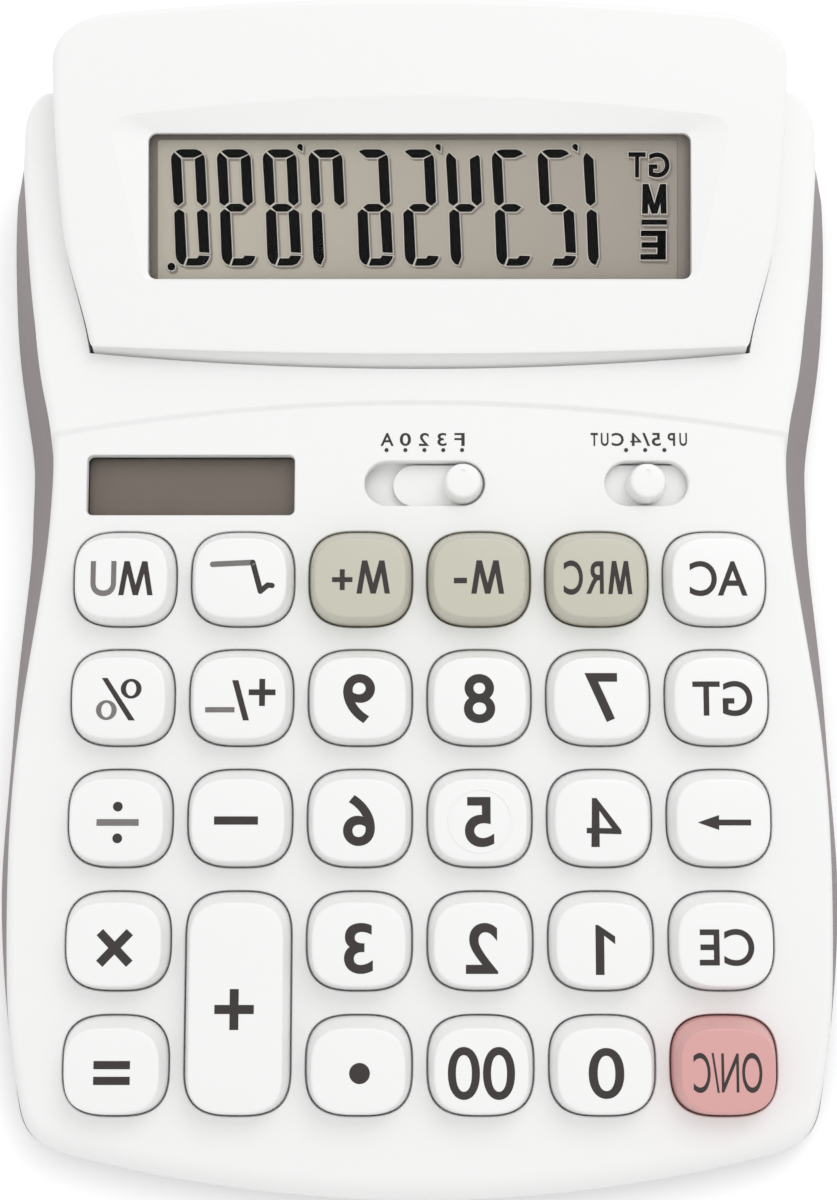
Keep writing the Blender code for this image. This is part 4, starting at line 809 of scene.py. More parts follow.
PRINT_RISE = 0.03
PRINT_SINK = 0.08
PRINT_STEP = 0.004
LONGEST_EDGE = 1.2
CUTTING_ROUNDS = 3
SAME_POINT = 0.0005
# The height of a capital in Blender's own font, at size one
CAPITAL_HEIGHT = 0.69


def slab(outline):
    """A flat shape one unit thick."""
    return prism("mark", np.asarray(outline, float), 0.0, 1.0)


def glyphs(text, width, height, centre, weight):
    """Lettering one unit thick, made bolder by a weight and stretched to fill a box."""
    curve = bpy.data.curves.new("lettering", "FONT")
    curve.body = text
    curve.offset = weight / height * CAPITAL_HEIGHT
    curve.extrude = 0.5
    mesh = final_mesh(new_object("lettering", curve))
    points = points_of(mesh)
    low, high = points.min(axis=0), points.max(axis=0)
    share = (points - low) / (high - low) - (0.5, 0.5, 0.0)
    move_points(mesh, share * (width, height, 1.0) + (*centre, 0.0))
    return mesh


def bar(start, end, width):
    """A straight stroke with square ends."""
    start, end = np.asarray(start, float), np.asarray(end, float)
    along = (end - start) / np.linalg.norm(end - start)
    side = np.array((-along[1], along[0])) * width / 2
    return slab([start - side, end - side, end + side, start + side])


def pen_stroke(start, end, width):
    """A straight stroke with half-round ends."""
    start, end = np.asarray(start, float), np.asarray(end, float)
    length = np.linalg.norm(end - start)
    cosine, sine = (end - start) / length
    turn = np.array(((cosine, sine), (-sine, cosine)))
    return slab(stadium(length + width, width, 8) @ turn + (start + end) / 2)


def fitted(shapes, width, height, centre):
    """Slabs from outlines that are drawn in a box from 0 to 1 each way."""
    return [slab((np.array(shape) - 0.5) * (width, height) + centre) for shape in shapes]


def letter_m(width, height, centre, stroke, splay=0.165):
    """Four slanted legs; splay is how far the outer ones lean, as a share of the width."""
    half = stroke / width / 2
    left, right = half + splay, 1 - half - splay
    legs = ((half, left), (0.5, left), (0.5, right), (1 - half, right))
    shapes = [
        ((low - half, 0), (low + half, 0), (high + half, 1), (high - half, 1))
        for low, high in legs
    ]
    return fitted(shapes, width, height, centre)


def digit_one(width, height, centre):
    """A stem with a slanting flag."""
    shape = ((0.56, 0), (1, 0), (1, 1), (0.86, 1), (0, 0.77), (0, 0.615), (0.56, 0.785))
    return fitted([shape], width, height, centre)


def digit_four(width, height, centre):
    """A stem, a slant and a crossbar that overlap."""
    stem = ((0.63, 0), (0.87, 0), (0.84, 1), (0.71, 1), (0.63, 0.9))
    slant = ((0.15, 0.265), (0.68, 0.79), (0.75, 1), (0.71, 1), (0, 0.34), (0, 0.26))
    cross = ((0, 0.26), (1, 0.28), (1, 0.39), (0.06, 0.38))
    return fitted([stem, slant, cross], width, height, centre)


def disc(diameter, centre):
    """A round dot."""
    return slab(circle(diameter, 36) + centre)


def hollow_oval(outer, inner, centre):
    """A band between two ovals, each given by its width and height."""
    edges = [circle(1.0) * size + centre for size in (outer, inner)]
    return frame_between("mark", *edges, 0.0, 1.0)


def level(x, y):
    """The height of a flat face, at each x."""
    return np.zeros_like(x)


def printed(name, marks, height_at, matrix, rise=PRINT_RISE, sink=PRINT_SINK):
    """Marks laid on a face, each a hair higher than the one before.

    The face's height is a function of x and y, and long edges are halved a few times over, so
    that the print can follow it. It sinks a little way into the face and stands up a little.
    """
    work = bmesh.new()
    for number, mark in enumerate(marks):
        flat = points_of(mark) * (MIRROR, 1.0, rise + sink + number * PRINT_STEP)
        flat[:, 2] -= sink
        move_points(mark, flat)
        work.from_mesh(mark)
    bmesh.ops.remove_doubles(work, verts=work.verts, dist=SAME_POINT)
    bmesh.ops.triangulate(work, faces=work.faces)
    for _ in range(CUTTING_ROUNDS):
        long_edges = [edge for edge in work.edges if edge.calc_length() > LONGEST_EDGE]
        bmesh.ops.subdivide_edges(work, edges=long_edges, cuts=1)
        bmesh.ops.triangulate(work, faces=work.faces)
    bmesh.ops.recalc_face_normals(work, faces=work.faces)
    mesh = bpy.data.meshes.new(name)
    work.to_mesh(mesh)
    work.free()
    points = points_of(mesh) * MM
    points[:, 2] += height_at(points[:, 0], points[:, 1])
    move_points(mesh, points)
    mesh.transform(matrix)
    return mesh


# Keys

KEY_ROWS = (
    ("mark_up", "square_root", "memory_plus", "memory_minus", "memory_recall", "all_clear"),
    ("percent", "change_sign", "9", "8", "7", "grand_total"),
    ("divide", "minus", "6", "5", "4", "backspace"),
    ("multiply", "plus", "3", "2", "1", "clear_entry"),
    ("equals", None, "point", "double_zero", "0", "on_clear"),
)
COLOURED_KEYS = {
    "memory_plus": "grey_key",
    "memory_minus": "grey_key",
    "memory_recall": "grey_key",
    "on_clear": "pink_key",
}
COLUMN_PITCH = 20.0 * MM
ROW_PITCH = 20.21 * MM
KEY_WIDTH = 17.2 * MM
KEY_LENGTH = 16.0 * MM
KEY_POWER = 3.0
KEY_POINTS = 120
KEY_HEIGHT = 5.2 * MM
KEY_DOME = 0.25 * MM
KEY_EDGE = 0.5 * MM
KEY_SHIFT = 0.55 * MM
KEY_ACROSS = 2.0 * MM
KEY_ALONG = 2.6 * MM
FLANGE_TOP = -2.3 * MM
FLANGE_BOTTOM = -3.3 * MM
FLANGE_WIDER = 1.8 * MM
TOP_RINGS = (0.94, 0.87, 0.79, 0.7, 0.6, 0.5, 0.4, 0.3, 0.2, 0.1, 0.02)
WALL_TOP = KEY_HEIGHT - KEY_DOME - KEY_EDGE
WALL_SHARE = WALL_TOP / KEY_HEIGHT
TOP_HALF_WIDTH = (KEY_WIDTH - KEY_ACROSS * WALL_SHARE) / 2 - KEY_EDGE
TOP_HALF_LENGTH = (KEY_LENGTH - KEY_ALONG * WALL_SHARE) / 2 - KEY_EDGE
TOP_SHIFT = KEY_SHIFT * WALL_SHARE
# The openings in the deck: how deep their cutters reach, and the radii of their rims
CUTTER_LOW = -3.0 * MM
KEY_RIM = 0.25 * MM
SLOT_RIM = 0.35 * MM
SOLAR_RIM = 0.3 * MM
RIM_LIFT = 0.02 * MM


def on_deck(x, y):
    """The frame of a piece that stands square on the sloped deck."""
    return DECK @ Matrix.Translation((x, y, 0.0))


def key_places():
    """Each key's name, its place on the deck, and how much longer than the others it is."""
    for row, names in enumerate(KEY_ROWS):
        for column, name in enumerate(names):
            if name:
                stretch = ROW_PITCH if name == "plus" else 0.0
                y = (2 - row) * ROW_PITCH - stretch / 2
                yield name, ((column - 2.5) * COLUMN_PITCH, y), stretch


def key_top(x, y, stretch=0.0):
    """The height of a key's top face, which falls by the square of the way out to its rim."""
    across = np.abs(x) / TOP_HALF_WIDTH
    along = np.maximum(0.0, np.abs(y + TOP_SHIFT) - stretch / 2) / TOP_HALF_LENGTH
    return KEY_HEIGHT - KEY_DOME * (across**KEY_POWER + along**KEY_POWER)**(2 / KEY_POWER)


def key_plan(wider, longer, stretch):
    """A key from above, made wider and longer than it is at the deck: a squared-off ellipse.

    Its cosine and sine are raised to 2 / power, and its halves are moved apart by the stretch.
    """
    angle = 2 * np.pi * (np.arange(KEY_POINTS) + 0.5) / KEY_POINTS
    round_plan = np.column_stack([np.cos(angle), np.sin(angle)])
    sign = np.sign(round_plan)
    plan = sign * np.abs(round_plan)**(2 / KEY_POWER) * (KEY_WIDTH + wider, KEY_LENGTH + longer) / 2
    return plan + sign * (0.0, stretch / 2)


def key_mesh(stretch):
    """A key cap: flange, steep drafted wall, a small rounded edge, and a shallow domed top.

    The wall narrows evenly with height and leans to the front, the edge is a quarter circle,
    and the top's rings shrink towards the middle.
    """
    flange = key_plan(FLANGE_WIDER, FLANGE_WIDER, stretch)
    rings = [ring(flange, FLANGE_BOTTOM), ring(flange, FLANGE_TOP)]
    for z in np.linspace(FLANGE_TOP, WALL_TOP, 7):
        t = max(0.0, z / KEY_HEIGHT)
        outline = key_plan(-KEY_ACROSS * t, -KEY_ALONG * t, stretch)
        rings.append(ring(outline - (0.0, KEY_SHIFT * t), z))
    rings += rounded_edge(rings[-1][:, :2], KEY_EDGE, WALL_TOP, KEY_EDGE, count=7)[1:]
    rim = rings[-1][:, :2]
    middle = np.array((0.0, -TOP_SHIFT))
    for share in TOP_RINGS:
        points = middle + (rim - middle) * share
        rings.append(ring(points, key_top(points[:, 0], points[:, 1], stretch)))
    return loft("key", rings)


def opening(outline, rim, x, y):
    """What is cut from the deck for an opening whose rim flares outwards as a quarter circle."""
    rings = [ring(outline, CUTTER_LOW), *rounded_edge(outline, -rim, -rim, rim, count=5)]
    rings[-1][:, 2] = RIM_LIFT
    rings.append(ring(rings[-1][:, :2], PAST))
    return loft("opening", rings, on_deck(x, y))


def key_holes():
    """Each key's own plan, wider by the gap all round."""
    holes = [
        opening(key_plan(2 * GAP, 2 * GAP, stretch), KEY_RIM, x, y)
        for _, (x, y), stretch in key_places()
    ]
    return join_meshes("key_holes", holes)


# Slots, switches and the solar cell

SLOT_Y = 57.0 * MM
SLOT_WIDTH = 7.7 * MM
# Each slot's middle and length, and where its knob rests
SLOTS = {"decimal_switch": (0.85 * MM, 20.6 * MM), "rounding_switch": (38.8 * MM, 14.3 * MM)}
KNOBS = {"decimal_switch": 7.37 * MM, "rounding_switch": 38.8 * MM}
PLATE_LENGTH = 23.8 * MM
PLATE_LOW, PLATE_TOP = -3.3 * MM, -2.3 * MM
KNOB_FOOT = 6.8 * MM
KNOB_DIAMETER = 6.0 * MM
KNOB_WALL_TOP = 1.8 * MM
KNOB_EDGE = 0.6 * MM
DIMPLE_RADIUS = 0.45 * MM
DIMPLE_PLACE = (0.0, 1.6 * MM, 2.6 * MM)
SOLAR_X = -39.15 * MM
SOLAR_Y = 56.7 * MM
SOLAR_LENGTH = 35.5 * MM
SOLAR_WIDTH = 10.4 * MM


def deck_slots():
    """The two switch slots and the solar cell's opening."""
    slots = [
        opening(stadium(length, SLOT_WIDTH), SLOT_RIM, x, SLOT_Y)
        for x, length in SLOTS.values()
    ]
    solar = opening(rounded_box(SOLAR_LENGTH, SOLAR_WIDTH, MM), SOLAR_RIM, SOLAR_X, SOLAR_Y)
    return join_meshes("slots", [*slots, solar])


def build_top_case():
    """The upper shell: its skin, less the hollow, the openings in its deck, and the well."""
    pan = well_volume(CASE_WALL, HINGE_DEPTH - MM)
    hollow = boolean(inner_hollow(), pan, "DIFFERENCE")
    shell = boolean(outer_shell(), hollow, "DIFFERENCE")
    for cutter in (key_holes(), deck_slots(), well_volume(0.0, HINGE_DEPTH + PAST)):
        shell = boolean(shell, cutter, "DIFFERENCE")
    make_shell("top_case", shell, "white_case", "base")


FEET = [f"foot_{end}_{side}" for end in ("front", "rear") for side in ("left", "right")]
CASE_SCREWS = [f"case_screw_{end}_{side}" for end in ("front", "rear") for side in ("left", "right")]
SCREW_HEAD_HEIGHT = 1.4 * MM
FOOT_RECESS = 0.7 * MM
DOOR_THICKNESS = 2.4 * MM
DOOR_CORNER = 2.3 * MM
BASE_LEVEL = 1.5 * MM
BASE_EDGE = 1.5 * MM
TRAY_FLOOR = 3.5 * MM
TRAY_WALL = 3.0 * MM
# The tray's upper edge: how far inside the parting line, and how far above it
TRAY_LIP = (
    (0.0, -GAP),
    (2.1 * MM, -GAP),
    (2.7 * MM, 1.5 * MM),
    (3.6 * MM, 1.5 * MM),
    (TRAY_WALL, -GAP),
)


def middle_and_size(name):
    """The middle and the size, seen from above, of one of the model's own pieces."""
    low, high = (np.array(corner_point) for corner_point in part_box(name))
    return (low + high)[:2] / 2, (high - low)[:2]


def tray_recesses():
    """What is cut from the lower case: seats for the feet and the screws, and the battery door's."""
    sinks = []
    for name in FEET:
        centre, size = middle_and_size(name)
        sinks.append(prism("seat", circle(size[0] + 2 * GAP) + centre, -MM, BASE_LEVEL + FOOT_RECESS))
    for name in CASE_SCREWS:
        centre, size = middle_and_size(name)
        head_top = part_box(name)[0][2] + SCREW_HEAD_HEIGHT + GAP
        sinks.append(prism("sink", circle(size[0] + 2 * GAP) + centre, -MM, head_top))
    centre, size = middle_and_size("battery_door")
    outline = rounded_box(*(size + 2 * GAP), DOOR_CORNER) + centre
    sinks.append(prism("door_seat", outline, -MM, BASE_LEVEL + DOOR_THICKNESS + GAP))
    return join_meshes("recesses", sinks)


def build_bottom_case():
    """The lower shell: a tray with a rounded lower edge and a lip, and recesses in its underside."""
    parting = case_outline(1)
    foundation = case_outline(2)
    rings = rounded_edge(foundation, BASE_EDGE, BASE_LEVEL + BASE_EDGE, -BASE_EDGE, count=7)[::-1]
    height = parting_height(parting[:, 1])
    for distance, rise in TRAY_LIP:
        rings.append(ring(inset(parting, distance), height + rise))
    rings.append(ring(inset(foundation, TRAY_WALL), TRAY_FLOOR))
    tray = loft("lower_case", rings, BASE)
    tray = boolean(tray, tray_recesses(), "DIFFERENCE")
    make_shell("bottom_case", tray, "grey_case", "base")


BOLD = 0.22
MEDIUM = 0.1
# What each lettered key says, its box's width and height, its middle, and how much bolder it is
LETTERED_KEYS = {
    "all_clear": ("AC", 9.66, 5.92, (0.0, -0.66), MEDIUM),
    "grand_total": ("GT", 9.91, 5.83, (-0.27, -0.59), MEDIUM),
    "clear_entry": ("CE", 8.94, 5.96, (-0.18, -0.94), MEDIUM),
    "on_clear": ("ON/C", 11.14, 6.34, (0.07, -0.78), 0.02),
    "9": ("9", 5.28, 8.16, (0.07, -0.59), BOLD),
    "8": ("8", 5.18, 8.16, (0.07, -0.59), BOLD),
    "7": ("7", 5.41, 8.16, (-0.1, -0.42), BOLD),
    "6": ("6", 5.23, 8.35, (0.0, -0.52), BOLD),
    "5": ("5", 4.81, 8.19, (0.15, -0.77), BOLD),
    "3": ("3", 4.7, 8.21, (0.0, -1.1), BOLD),
    "2": ("2", 5.26, 8.21, (-0.17, -1.1), BOLD),
    "double_zero": ("00", 10.88, 8.4, (0.0, -0.86), MEDIUM),
    "0": ("0", 5.77, 8.08, (-0.25, -0.86), MEDIUM),
}


def fresh_marks():
    """What is printed on each key: its lettering, or the marks that are drawn stroke by stroke."""
    marks = {name: [glyphs(*values)] for name, values in LETTERED_KEYS.items()}
    marks["mark_up"] = letter_m(5.73, 5.75, (-2.46, -0.6), 0.88)
    marks["square_root"] = [
        pen_stroke((-2.04, 2.06), (-3.36, -2.8), 0.92),
        pen_stroke((-3.36, -2.8), (-4.58, -1.75), 0.9),
        pen_stroke((-4.58, -1.75), (-5.3, -1.83), 0.88),
    ]
    marks["memory_plus"] = [
        *letter_m(5.6, 5.6, (-2.22, -0.4), 0.88),
        bar((1.26, -0.85), (4.66, -0.85), 0.82),
        bar((2.96, -2.6), (2.96, 0.9), 0.82),
    ]
    marks["memory_minus"] = [
        *letter_m(5.5, 5.65, (-1.37, -0.4), 0.88),
        bar((2.1, -1.0), (4.27, -1.0), 0.92),
    ]
    marks["memory_recall"] = [
        *letter_m(4.05, 5.6, (-3.55, -0.49), 0.72),
        glyphs("R", 2.93, 5.5, (0.68, -0.49), MEDIUM),
        glyphs("C", 3.2, 5.8, (4.3, -0.49), MEDIUM),
    ]
    marks["percent"] = [
        slab([(-2.78, -4.23), (-1.71, -4.23), (2.85, 2.84), (1.9, 2.84)]),
        hollow_oval((3.44, 3.3), (1.72, 2.4), (-2.07, 1.04)),
    ]
    marks["change_sign"] = [
        slab([(-1.69, -4.23), (-0.7, -4.23), (1.17, 2.46), (0.14, 2.46)]),
        bar((-6.04, 0.45), (-1.61, 0.45), 0.96),
        bar((-3.83, -1.83), (-3.83, 2.69), 0.96),
    ]
    marks["backspace"] = [
        bar((-4.57, -0.86), (0.8, -0.86), 0.95),
        slab([(0.71, -2.09), (4.21, -0.86), (0.71, 0.37)]),
    ]
    marks["divide"] = [disc(1.6, (-0.25, 1.75)), disc(1.6, (-0.25, -3.45))]
    marks["minus"] = [bar((-3.36, -0.53), (3.87, -0.53), 1.35)]
    marks["multiply"] = [
        bar((-2.62, -3.57), (2.28, 1.53), 1.45),
        bar((-2.62, 1.53), (2.28, -3.57), 1.45),
    ]
    marks["plus"] = [bar((-3.02, -0.79), (3.4, -0.79), 1.45), bar((0.19, -4.06), (0.19, 2.48), 1.45)]
    marks["equals"] = [bar((-3.05, 0.46), (2.87, 0.46), 1.3), bar((-3.05, -2.04), (2.87, -2.04), 1.3)]
    marks["point"] = [disc(3.36, (-0.25, -0.87))]
    marks["4"] = digit_four(5.7, 8.02, (-0.34, -0.85))
    marks["1"] = digit_one(3.2, 8.05, (-0.33, -1.34))
    return marks


def worn_marks():
    """The marks that fingers have half rubbed off."""
    return {
        "mark_up": [glyphs("U", 4.31, 5.92, (2.95, -0.66), MEDIUM)],
        "square_root": [pen_stroke((4.68, 1.75), (-2.04, 2.06), 0.95)],
        "percent": [hollow_oval((3.44, 3.3), (1.72, 2.4), (1.98, -2.52))],
        "change_sign": [bar((0.72, -2.46), (5.61, -2.46), 0.88)],
        "divide": [bar((-3.72, -0.85), (3.22, -0.85), 1.1)],
    }


def print_key(name, word, marks, ink, stretch, matrix):
    """One ink of a key's legend, laid on its domed top."""
    mesh = printed(word, marks, lambda x, y: key_top(x, y, stretch), matrix)
    piece = make_piece(f"{word}_{name}", mesh, ink)
    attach(piece, f"key_{name}")


# The raised ring on the middle key
TOUCH_RING = 10.4 * MM
TOUCH_RING_WIDTH = 0.5 * MM
TOUCH_RING_RISE = 0.12 * MM
TOUCH_RING_MIDDLE = (0.0, -0.5 * MM)
TOUCH_RING_ARC = (-0.2 * np.pi, 1.2 * np.pi)


def touch_ring(matrix):
    """The low bead on the middle key: most of a flat oval, whose lower part dips under the top."""
    rings = []
    for angle in np.linspace(*TOUCH_RING_ARC, 9):
        outline = circle(TOUCH_RING + TOUCH_RING_WIDTH * math.cos(angle), 96) + TOUCH_RING_MIDDLE
        height = key_top(outline[:, 0], outline[:, 1]) + TOUCH_RING_RISE * math.sin(angle)
        rings.append(ring(outline, height))
    mesh = loft("touch_ring", rings, matrix, closed_along=True)
    piece = make_piece("touch_ring", mesh, "white_key", smooth=60.0)
    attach(piece, "key_5")


def build_keys():
    """Every key cap with its legend, and the ring on the middle key."""
    plain, tall = key_mesh(0.0), key_mesh(ROW_PITCH)
    fresh, worn = fresh_marks(), worn_marks()
    for name, (x, y), stretch in key_places():
        matrix = on_deck(x, y)
        mesh = (tall if stretch else plain).copy()
        mesh.transform(matrix)
        finish = COLOURED_KEYS.get(name, "white_key")
        piece = make_piece(f"key_cap_{name}", mesh, finish, smooth=40.0)
        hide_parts(f"key_{name}")
        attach(piece, f"key_{name}")
        print_key(name, "legend", fresh[name], "ink", stretch, matrix)
        if name in worn:
            print_key(name, "worn_legend", worn[name], "worn_ink", stretch, matrix)
        if name == "5":
            touch_ring(matrix)


def slider_mesh():
    """A plate that stays under the deck and a round knob with a dimple near its rear edge."""
    plate = prism("plate", stadium(PLATE_LENGTH, SLOT_WIDTH - 2 * GAP), PLATE_LOW, PLATE_TOP)
    foot = circle(KNOB_FOOT, 64)
    rings = [ring(foot, (PLATE_LOW + PLATE_TOP) / 2), ring(foot, 0.0)]
    rings += rounded_edge(circle(KNOB_DIAMETER, 64), KNOB_EDGE, KNOB_WALL_TOP, KNOB_EDGE, count=7)
    slider = boolean(plate, loft("knob", rings), "UNION")
    ball = bpy.data.meshes.new("dimple")
    work = bmesh.new()
    bmesh.ops.create_uvsphere(work, u_segments=24, v_segments=12, radius=DIMPLE_RADIUS)
    work.to_mesh(ball)
    work.free()
    ball.transform(Matrix.Translation(DIMPLE_PLACE))
    return boolean(slider, ball, "DIFFERENCE")


def build_switches():
    """Both sliders, each where its knob rests."""
    for name, x in KNOBS.items():
        slider = slider_mesh()
        slider.transform(on_deck(x, SLOT_Y))
        piece = make_piece(f"{name}_knob", slider, "white_key", smooth=35.0)
        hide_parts(f"{name}_slider")
        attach(piece, name)


# What each switch position is called: its letters, their box's width, and their middle
SWITCH_LETTERS = (
    ("F", 1.76, -6.83), ("3", 1.56, -3.81), ("2", 1.71, -0.73), ("0", 1.9, 2.45), ("A", 2.25, 5.59),
    ("U", 1.3, -45.18), ("P", 1.26, -43.16), ("5", 1.53, -40.57), ("/", 1.3, -38.83),
    ("C", 2.05, -33.95), ("U", 1.31, -31.72), ("T", 1.24, -29.94),
)
SWITCH_FOUR = (1.86, -37.06)
SWITCH_LETTER_HEIGHT = 2.27
SWITCH_WEIGHT = 0.05
SWITCH_LETTER_Y = 64.64
SWITCH_DOTS = (-7.26, -4.04, -0.8, 2.45, 5.68, -41.92, -38.64, -35.36)
SWITCH_DOT_Y = 62.78
SWITCH_DOT = 0.68
SWITCH_PRINT_RISE = 0.02


def print_switches():
    """The letters behind the two slots, with a dot for each position."""
    marks = [
        glyphs(text, width, SWITCH_LETTER_HEIGHT, (x, SWITCH_LETTER_Y), SWITCH_WEIGHT)
        for text, width, x in SWITCH_LETTERS
    ]
    width, x = SWITCH_FOUR
    marks += digit_four(width, SWITCH_LETTER_HEIGHT, (x, SWITCH_LETTER_Y))
    marks += [disc(SWITCH_DOT, (x, SWITCH_DOT_Y)) for x in SWITCH_DOTS]
    mesh = printed("switch_legend", marks, level, DECK, SWITCH_PRINT_RISE)
    piece = make_piece("switch_legend", mesh, "ink")
    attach(piece, "base")


# The display, in millimetres as it reads from left to right

DIGIT_PITCH = 7.9
DIGITS_START = -34.99
DIGITS_LOW = 10.57
DIGIT_LEAN = 0.0485
# The segments of a digit that stands upright, each anticlockwise
SEGMENTS = {
    "top": (
        (5.1, 19.7), (4.5, 20.0), (4.0, 20.1), (1.5, 20.1),
        (0.8, 19.8), (0.3, 19.3), (1.9, 18.6), (3.8, 18.6),
    ),
    "upper_right": (
        (5.3, 19.6), (4.1, 18.4), (4.1, 11.0), (5.0, 10.3), (5.8, 10.9), (5.9, 18.3), (5.8, 18.9),
    ),
    "upper_left": (
        (0.3, 19.2), (0.0, 18.6), (0.0, 18.2), (0.0, 11.0), (0.9, 10.3), (1.8, 11.1), (1.8, 18.4),
    ),
    "lower_right": (
        (5.0, 9.8), (4.0, 9.2), (4.0, 1.5), (4.6, 0.1),
        (5.3, 0.4), (5.8, 1.2), (5.9, 2.1), (5.8, 9.1),
    ),
    "lower_left": ((0.9, 9.8), (0.0, 9.2), (0.0, 2.2), (1.8, 2.3), (1.9, 9.2)),
    "bottom": (
        (3.8, 1.3), (2.2, 1.3), (1.9, 1.8), (0.0, 1.7),
        (0.2, 1.1), (0.8, 0.3), (1.7, 0.0), (4.3, 0.0),
    ),
    "middle": ((4.8, 10.1), (3.9, 10.7), (2.1, 10.7), (1.1, 10.1), (2.0, 9.3), (4.0, 9.3)),
}
# The segments that each digit leaves out
OFF_SEGMENTS = {
    "0": ("middle",),
    "1": ("top", "upper_left", "middle", "lower_left", "bottom"),
    "2": ("upper_left", "lower_right"),
    "3": ("upper_left", "lower_left"),
    "4": ("top", "lower_left", "bottom"),
    "5": ("upper_right", "lower_left"),
    "6": ("upper_right",),
    "7": ("middle", "lower_left", "bottom"),
    "8": (),
    "9": ("lower_left",),
}
SHOWN = "1234567890"
POINT = 1.36
POINT_PLACE = (42.82, 10.4)
COMMA_PLACES = ((-26.79, 31.08), (-3.16, 31.08), (20.65, 31.08))
# A comma's dot, the end of its tail, and the angle of the tail with half the opening there
COMMA_RADIUS = 0.5
COMMA_TAIL = (-0.42, -0.87)
COMMA_ANGLE, COMMA_OPENING = math.radians(244.0), 0.9
# The signs beside the digits: width, height, middle, and how much bolder or how thick they are
SIGNS = (
    ("G", 3.61, 4.34, (-41.28, 27.92), 0.16),
    ("T", 2.99, 4.38, (-37.47, 27.94), 0.16),
    ("E", 4.42, 5.03, (-40.24, 14.11), 0.2),
)
SIGN_M = (4.26, 5.15, (-40.45, 22.1), 1.05)
SIGN_BAR = ((-42.58, 18.08), (-38.32, 18.08), 0.92)
GLASS_TOP = 5.1 * MM
LAYER_SINK = 0.02
# Each layer: how much its edges are widened, where it is moved to, its height and its finish
DISPLAY_LAYERS = {
    "display_shadow": (0.1, (0.36, -0.34), 0.02, "lcd_shade"),
    "display_outline": (0.13, (0.0, 0.0), 0.04, "lcd_light"),
    "display_segments": (0.0, (0.0, 0.0), 0.06, "lcd_dark"),
}
# The painted wall shade, a dark flat frame on the glass that stands for the shaded inner walls of the
# window: its margins inside the window, and its overlap outside it
WALL_SHADE_LEFT, WALL_SHADE_RIGHT = 1.3 * MM, 2.0 * MM
WALL_SHADE_BELOW, WALL_SHADE_ABOVE = 0.1 * MM, 0.7 * MM
WALL_SHADE_OVERLAP = 3.0 * MM
WALL_SHADE_CORNER = 0.4 * MM
WALL_SHADE_LOW, WALL_SHADE_TOP = GLASS_TOP + 0.02 * MM, GLASS_TOP + 0.26 * MM


def widened(outline, distance):
    """Every edge of an anticlockwise outline moved outwards by a distance, with sharp corners."""
    edges = np.roll(outline, -1, axis=0) - outline
    after = np.column_stack([edges[:, 1], -edges[:, 0]])
    after /= np.linalg.norm(after, axis=1)[:, None]
    before = np.roll(after, 1, axis=0)
    straightness = 1 + (before * after).sum(axis=1)
    return outline + (before + after) / straightness[:, None] * distance


def comma_outline(centre):
    """A dot whose edge runs out to a tail below it on the left."""
    angle = COMMA_ANGLE + np.linspace(COMMA_OPENING, 2 * np.pi - COMMA_OPENING, 20)
    dot = np.column_stack([np.cos(angle), np.sin(angle)]) * COMMA_RADIUS
    return np.concatenate([dot, [COMMA_TAIL]]) + centre


def display_outlines():
    """The segments that each digit shows, then the point and the commas."""
    for place, digit in enumerate(SHOWN):
        for name, corners in SEGMENTS.items():
            if name not in OFF_SEGMENTS[digit]:
                outline = np.array(corners)
                outline[:, 0] += DIGITS_START + place * DIGIT_PITCH + DIGIT_LEAN * outline[:, 1]
                outline[:, 1] += DIGITS_LOW
                yield outline
    yield circle(POINT, 36) + POINT_PLACE
    for centre in COMMA_PLACES:
        yield comma_outline(centre)


def display_marks(grow):
    """Everything that the display shows, with each edge moved outwards."""
    marks = [slab(widened(outline, grow)) for outline in display_outlines()]
    start, end, width = SIGN_BAR
    marks.append(bar(start, end, width + 2 * grow))
    width, height, centre, stroke = SIGN_M
    marks += letter_m(width + 2 * grow, height + 2 * grow, centre, stroke + 2 * grow, splay=0.02)
    for text, width, height, centre, weight in SIGNS:
        marks.append(glyphs(text, width + 2 * grow, height + 2 * grow, centre, weight + grow))
    return marks


def build_display():
    """The display's layers on its glass: a soft shadow, a light outline and the dark segments.

    Round them lies painted shade: a thin dark frame, wider at the sides than above, that stands for the
    window's shaded inner walls.
    """
    for name, (grow, (x, y), rise, finish) in DISPLAY_LAYERS.items():
        matrix = HEAD @ Matrix.Translation((x * MM, y * MM, GLASS_TOP))
        mesh = printed(name, display_marks(grow), level, matrix, rise, LAYER_SINK)
        piece = make_piece(name, mesh, finish)
        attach(piece, "display_head")
    outer = rounded_box(WINDOW_LENGTH + WALL_SHADE_OVERLAP, WINDOW_WIDTH + WALL_SHADE_OVERLAP, MM)
    length, width = WINDOW_LENGTH - WALL_SHADE_LEFT - WALL_SHADE_RIGHT, WINDOW_WIDTH - WALL_SHADE_BELOW - WALL_SHADE_ABOVE
    shift = (WALL_SHADE_LEFT - WALL_SHADE_RIGHT) / 2, (WALL_SHADE_BELOW - WALL_SHADE_ABOVE) / 2
    inner = rounded_box(length, width, WALL_SHADE_CORNER) + shift
    middle = HEAD @ Matrix.Translation((0.0, WINDOW_Y, 0.0))
    mask = frame_between("mask", outer, inner, WALL_SHADE_LOW, WALL_SHADE_TOP, middle)
    piece = make_piece("display_wall_shade", mask, "lcd_wall_shade")
    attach(piece, "display_head")


# The stage

# The focal length and the sensor's width in millimetres, and the sideways shift in pixels
FOCAL_LENGTH = 61.8975
SENSOR_WIDTH = 36.0
SHIFT_PIXELS = -1.21
PHOTO_HEIGHT_PIXELS = 1200
NEAREST = 10 * MM
CAMERA_PLACE = (0.0, -86.27 * MM, 362.09 * MM)
CAMERA_TILT = math.radians(13.91)
ROOM_STRENGTH = 0.92
LAMP_SIZE = 0.6
LAMP_POWER = 2.35
LAMP_PLACE = (0.3, 0.5, 0.92)
FLOOR_REACH = 1.5
FLOOR_TONES = (0.90, 0.92)
FLOOR_LIFT = 0.2


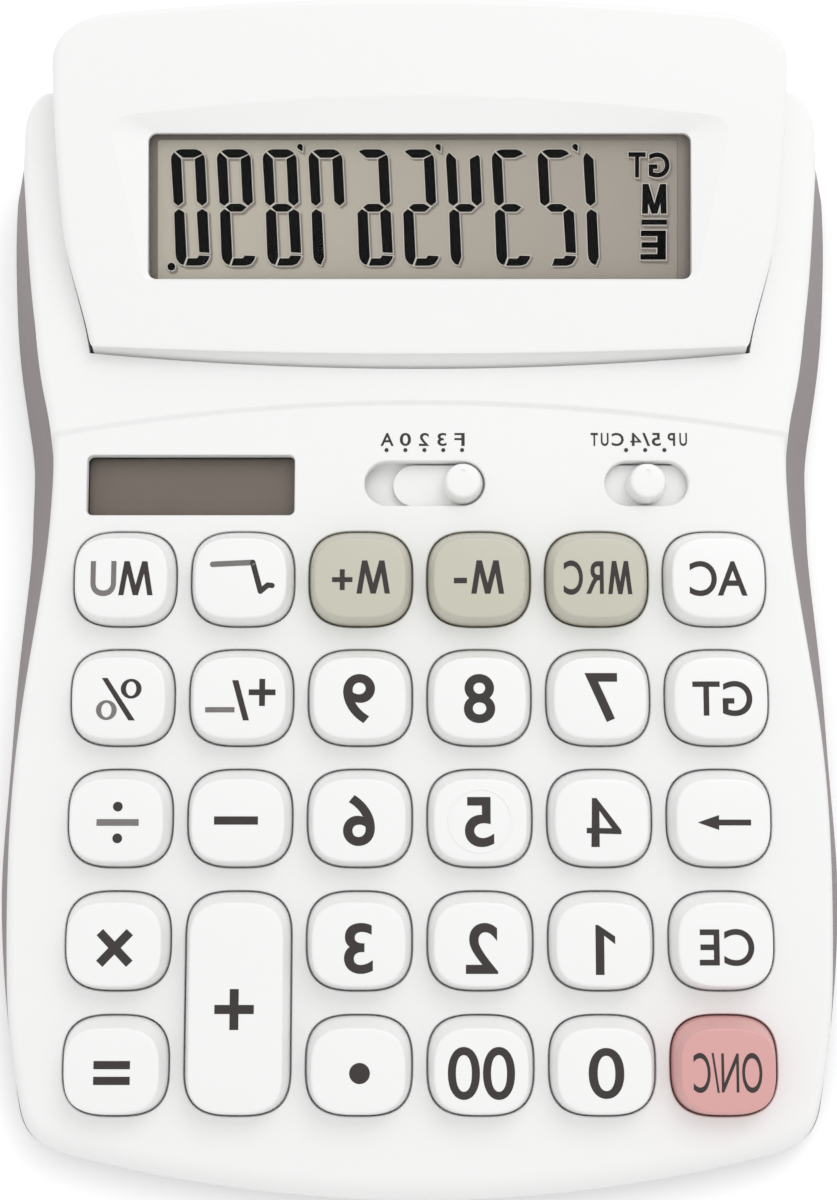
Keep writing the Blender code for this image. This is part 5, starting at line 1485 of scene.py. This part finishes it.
def build_camera():
    """The camera that fits the photographed keys and switch marks."""
    data = bpy.data.cameras.new("camera")
    data.lens = FOCAL_LENGTH
    data.sensor_width = SENSOR_WIDTH
    data.shift_x = SHIFT_PIXELS / PHOTO_HEIGHT_PIXELS
    data.clip_start = NEAREST
    camera = new_object("camera", data)
    camera.location = CAMERA_PLACE
    camera.rotation_euler = (CAMERA_TILT, 0.0, 0.0)
    bpy.context.scene.camera = camera


def build_floor():
    """A plain white floor that keeps the object's shadow, with a small lift seen by the camera only."""
    mesh = bpy.data.meshes.new("floor")
    signs = ((-1, -1), (1, -1), (1, 1), (-1, 1))
    corners = [(x * FLOOR_REACH, y * FLOOR_REACH, 0.0) for x, y in signs]
    mesh.from_pydata(corners, [], [(0, 1, 2, 3)])
    floor = new_object("floor", mesh)
    material = bpy.data.materials.new("floor")
    material.use_nodes = True
    tree = material.node_tree
    shader = tree.nodes["Principled BSDF"]
    shader.inputs["Roughness"].default_value = 0.9
    shader.inputs["Specular IOR Level"].default_value = 0.1
    place = node(tree, "ShaderNodeTexCoord")
    noise = node(tree, "ShaderNodeTexNoise", Scale=14.0)
    tone = node(tree, "ShaderNodeMix", data_type="RGBA")
    for socket, grey in zip((6, 7), FLOOR_TONES):
        tone.inputs[socket].default_value = (grey, grey, grey, 1.0)
    rays = node(tree, "ShaderNodeLightPath")
    lift = node(tree, "ShaderNodeMath", operation="MULTIPLY")
    lift.inputs[1].default_value = FLOOR_LIFT
    shader.inputs["Emission Color"].default_value = (1.0, 1.0, 1.0, 1.0)
    tree.links.new(place.outputs["Object"], noise.inputs["Vector"])
    tree.links.new(noise.outputs[0], tone.inputs[0])
    tree.links.new(tone.outputs[2], shader.inputs["Base Color"])
    tree.links.new(rays.outputs["Is Camera Ray"], lift.inputs[0])
    tree.links.new(lift.outputs[0], shader.inputs["Emission Strength"])
    mesh.materials.append(material)


def build_light():
    """Soft studio light: a bright room, and one broad lamp high up behind the right side."""
    world = bpy.data.worlds.new("room")
    world.use_nodes = True
    background = world.node_tree.nodes["Background"]
    background.inputs["Color"].default_value = (1.0, 1.0, 1.0, 1.0)
    background.inputs["Strength"].default_value = ROOM_STRENGTH
    bpy.context.scene.world = world
    data = bpy.data.lights.new("key_lamp", "AREA")
    data.shape = "SQUARE"
    data.size = LAMP_SIZE
    data.energy = LAMP_POWER
    lamp = new_object("key_lamp", data)
    lamp.location = LAMP_PLACE
    lamp.rotation_euler = (-lamp.location).to_track_quat("-Z", "Y").to_euler()


bpy.context.scene.view_settings.view_transform = "Standard"
finish_cad_nodes()
build_camera()
build_floor()
build_light()
build_top_case()
build_bottom_case()
build_head()
build_keys()
build_switches()
print_switches()
build_display()
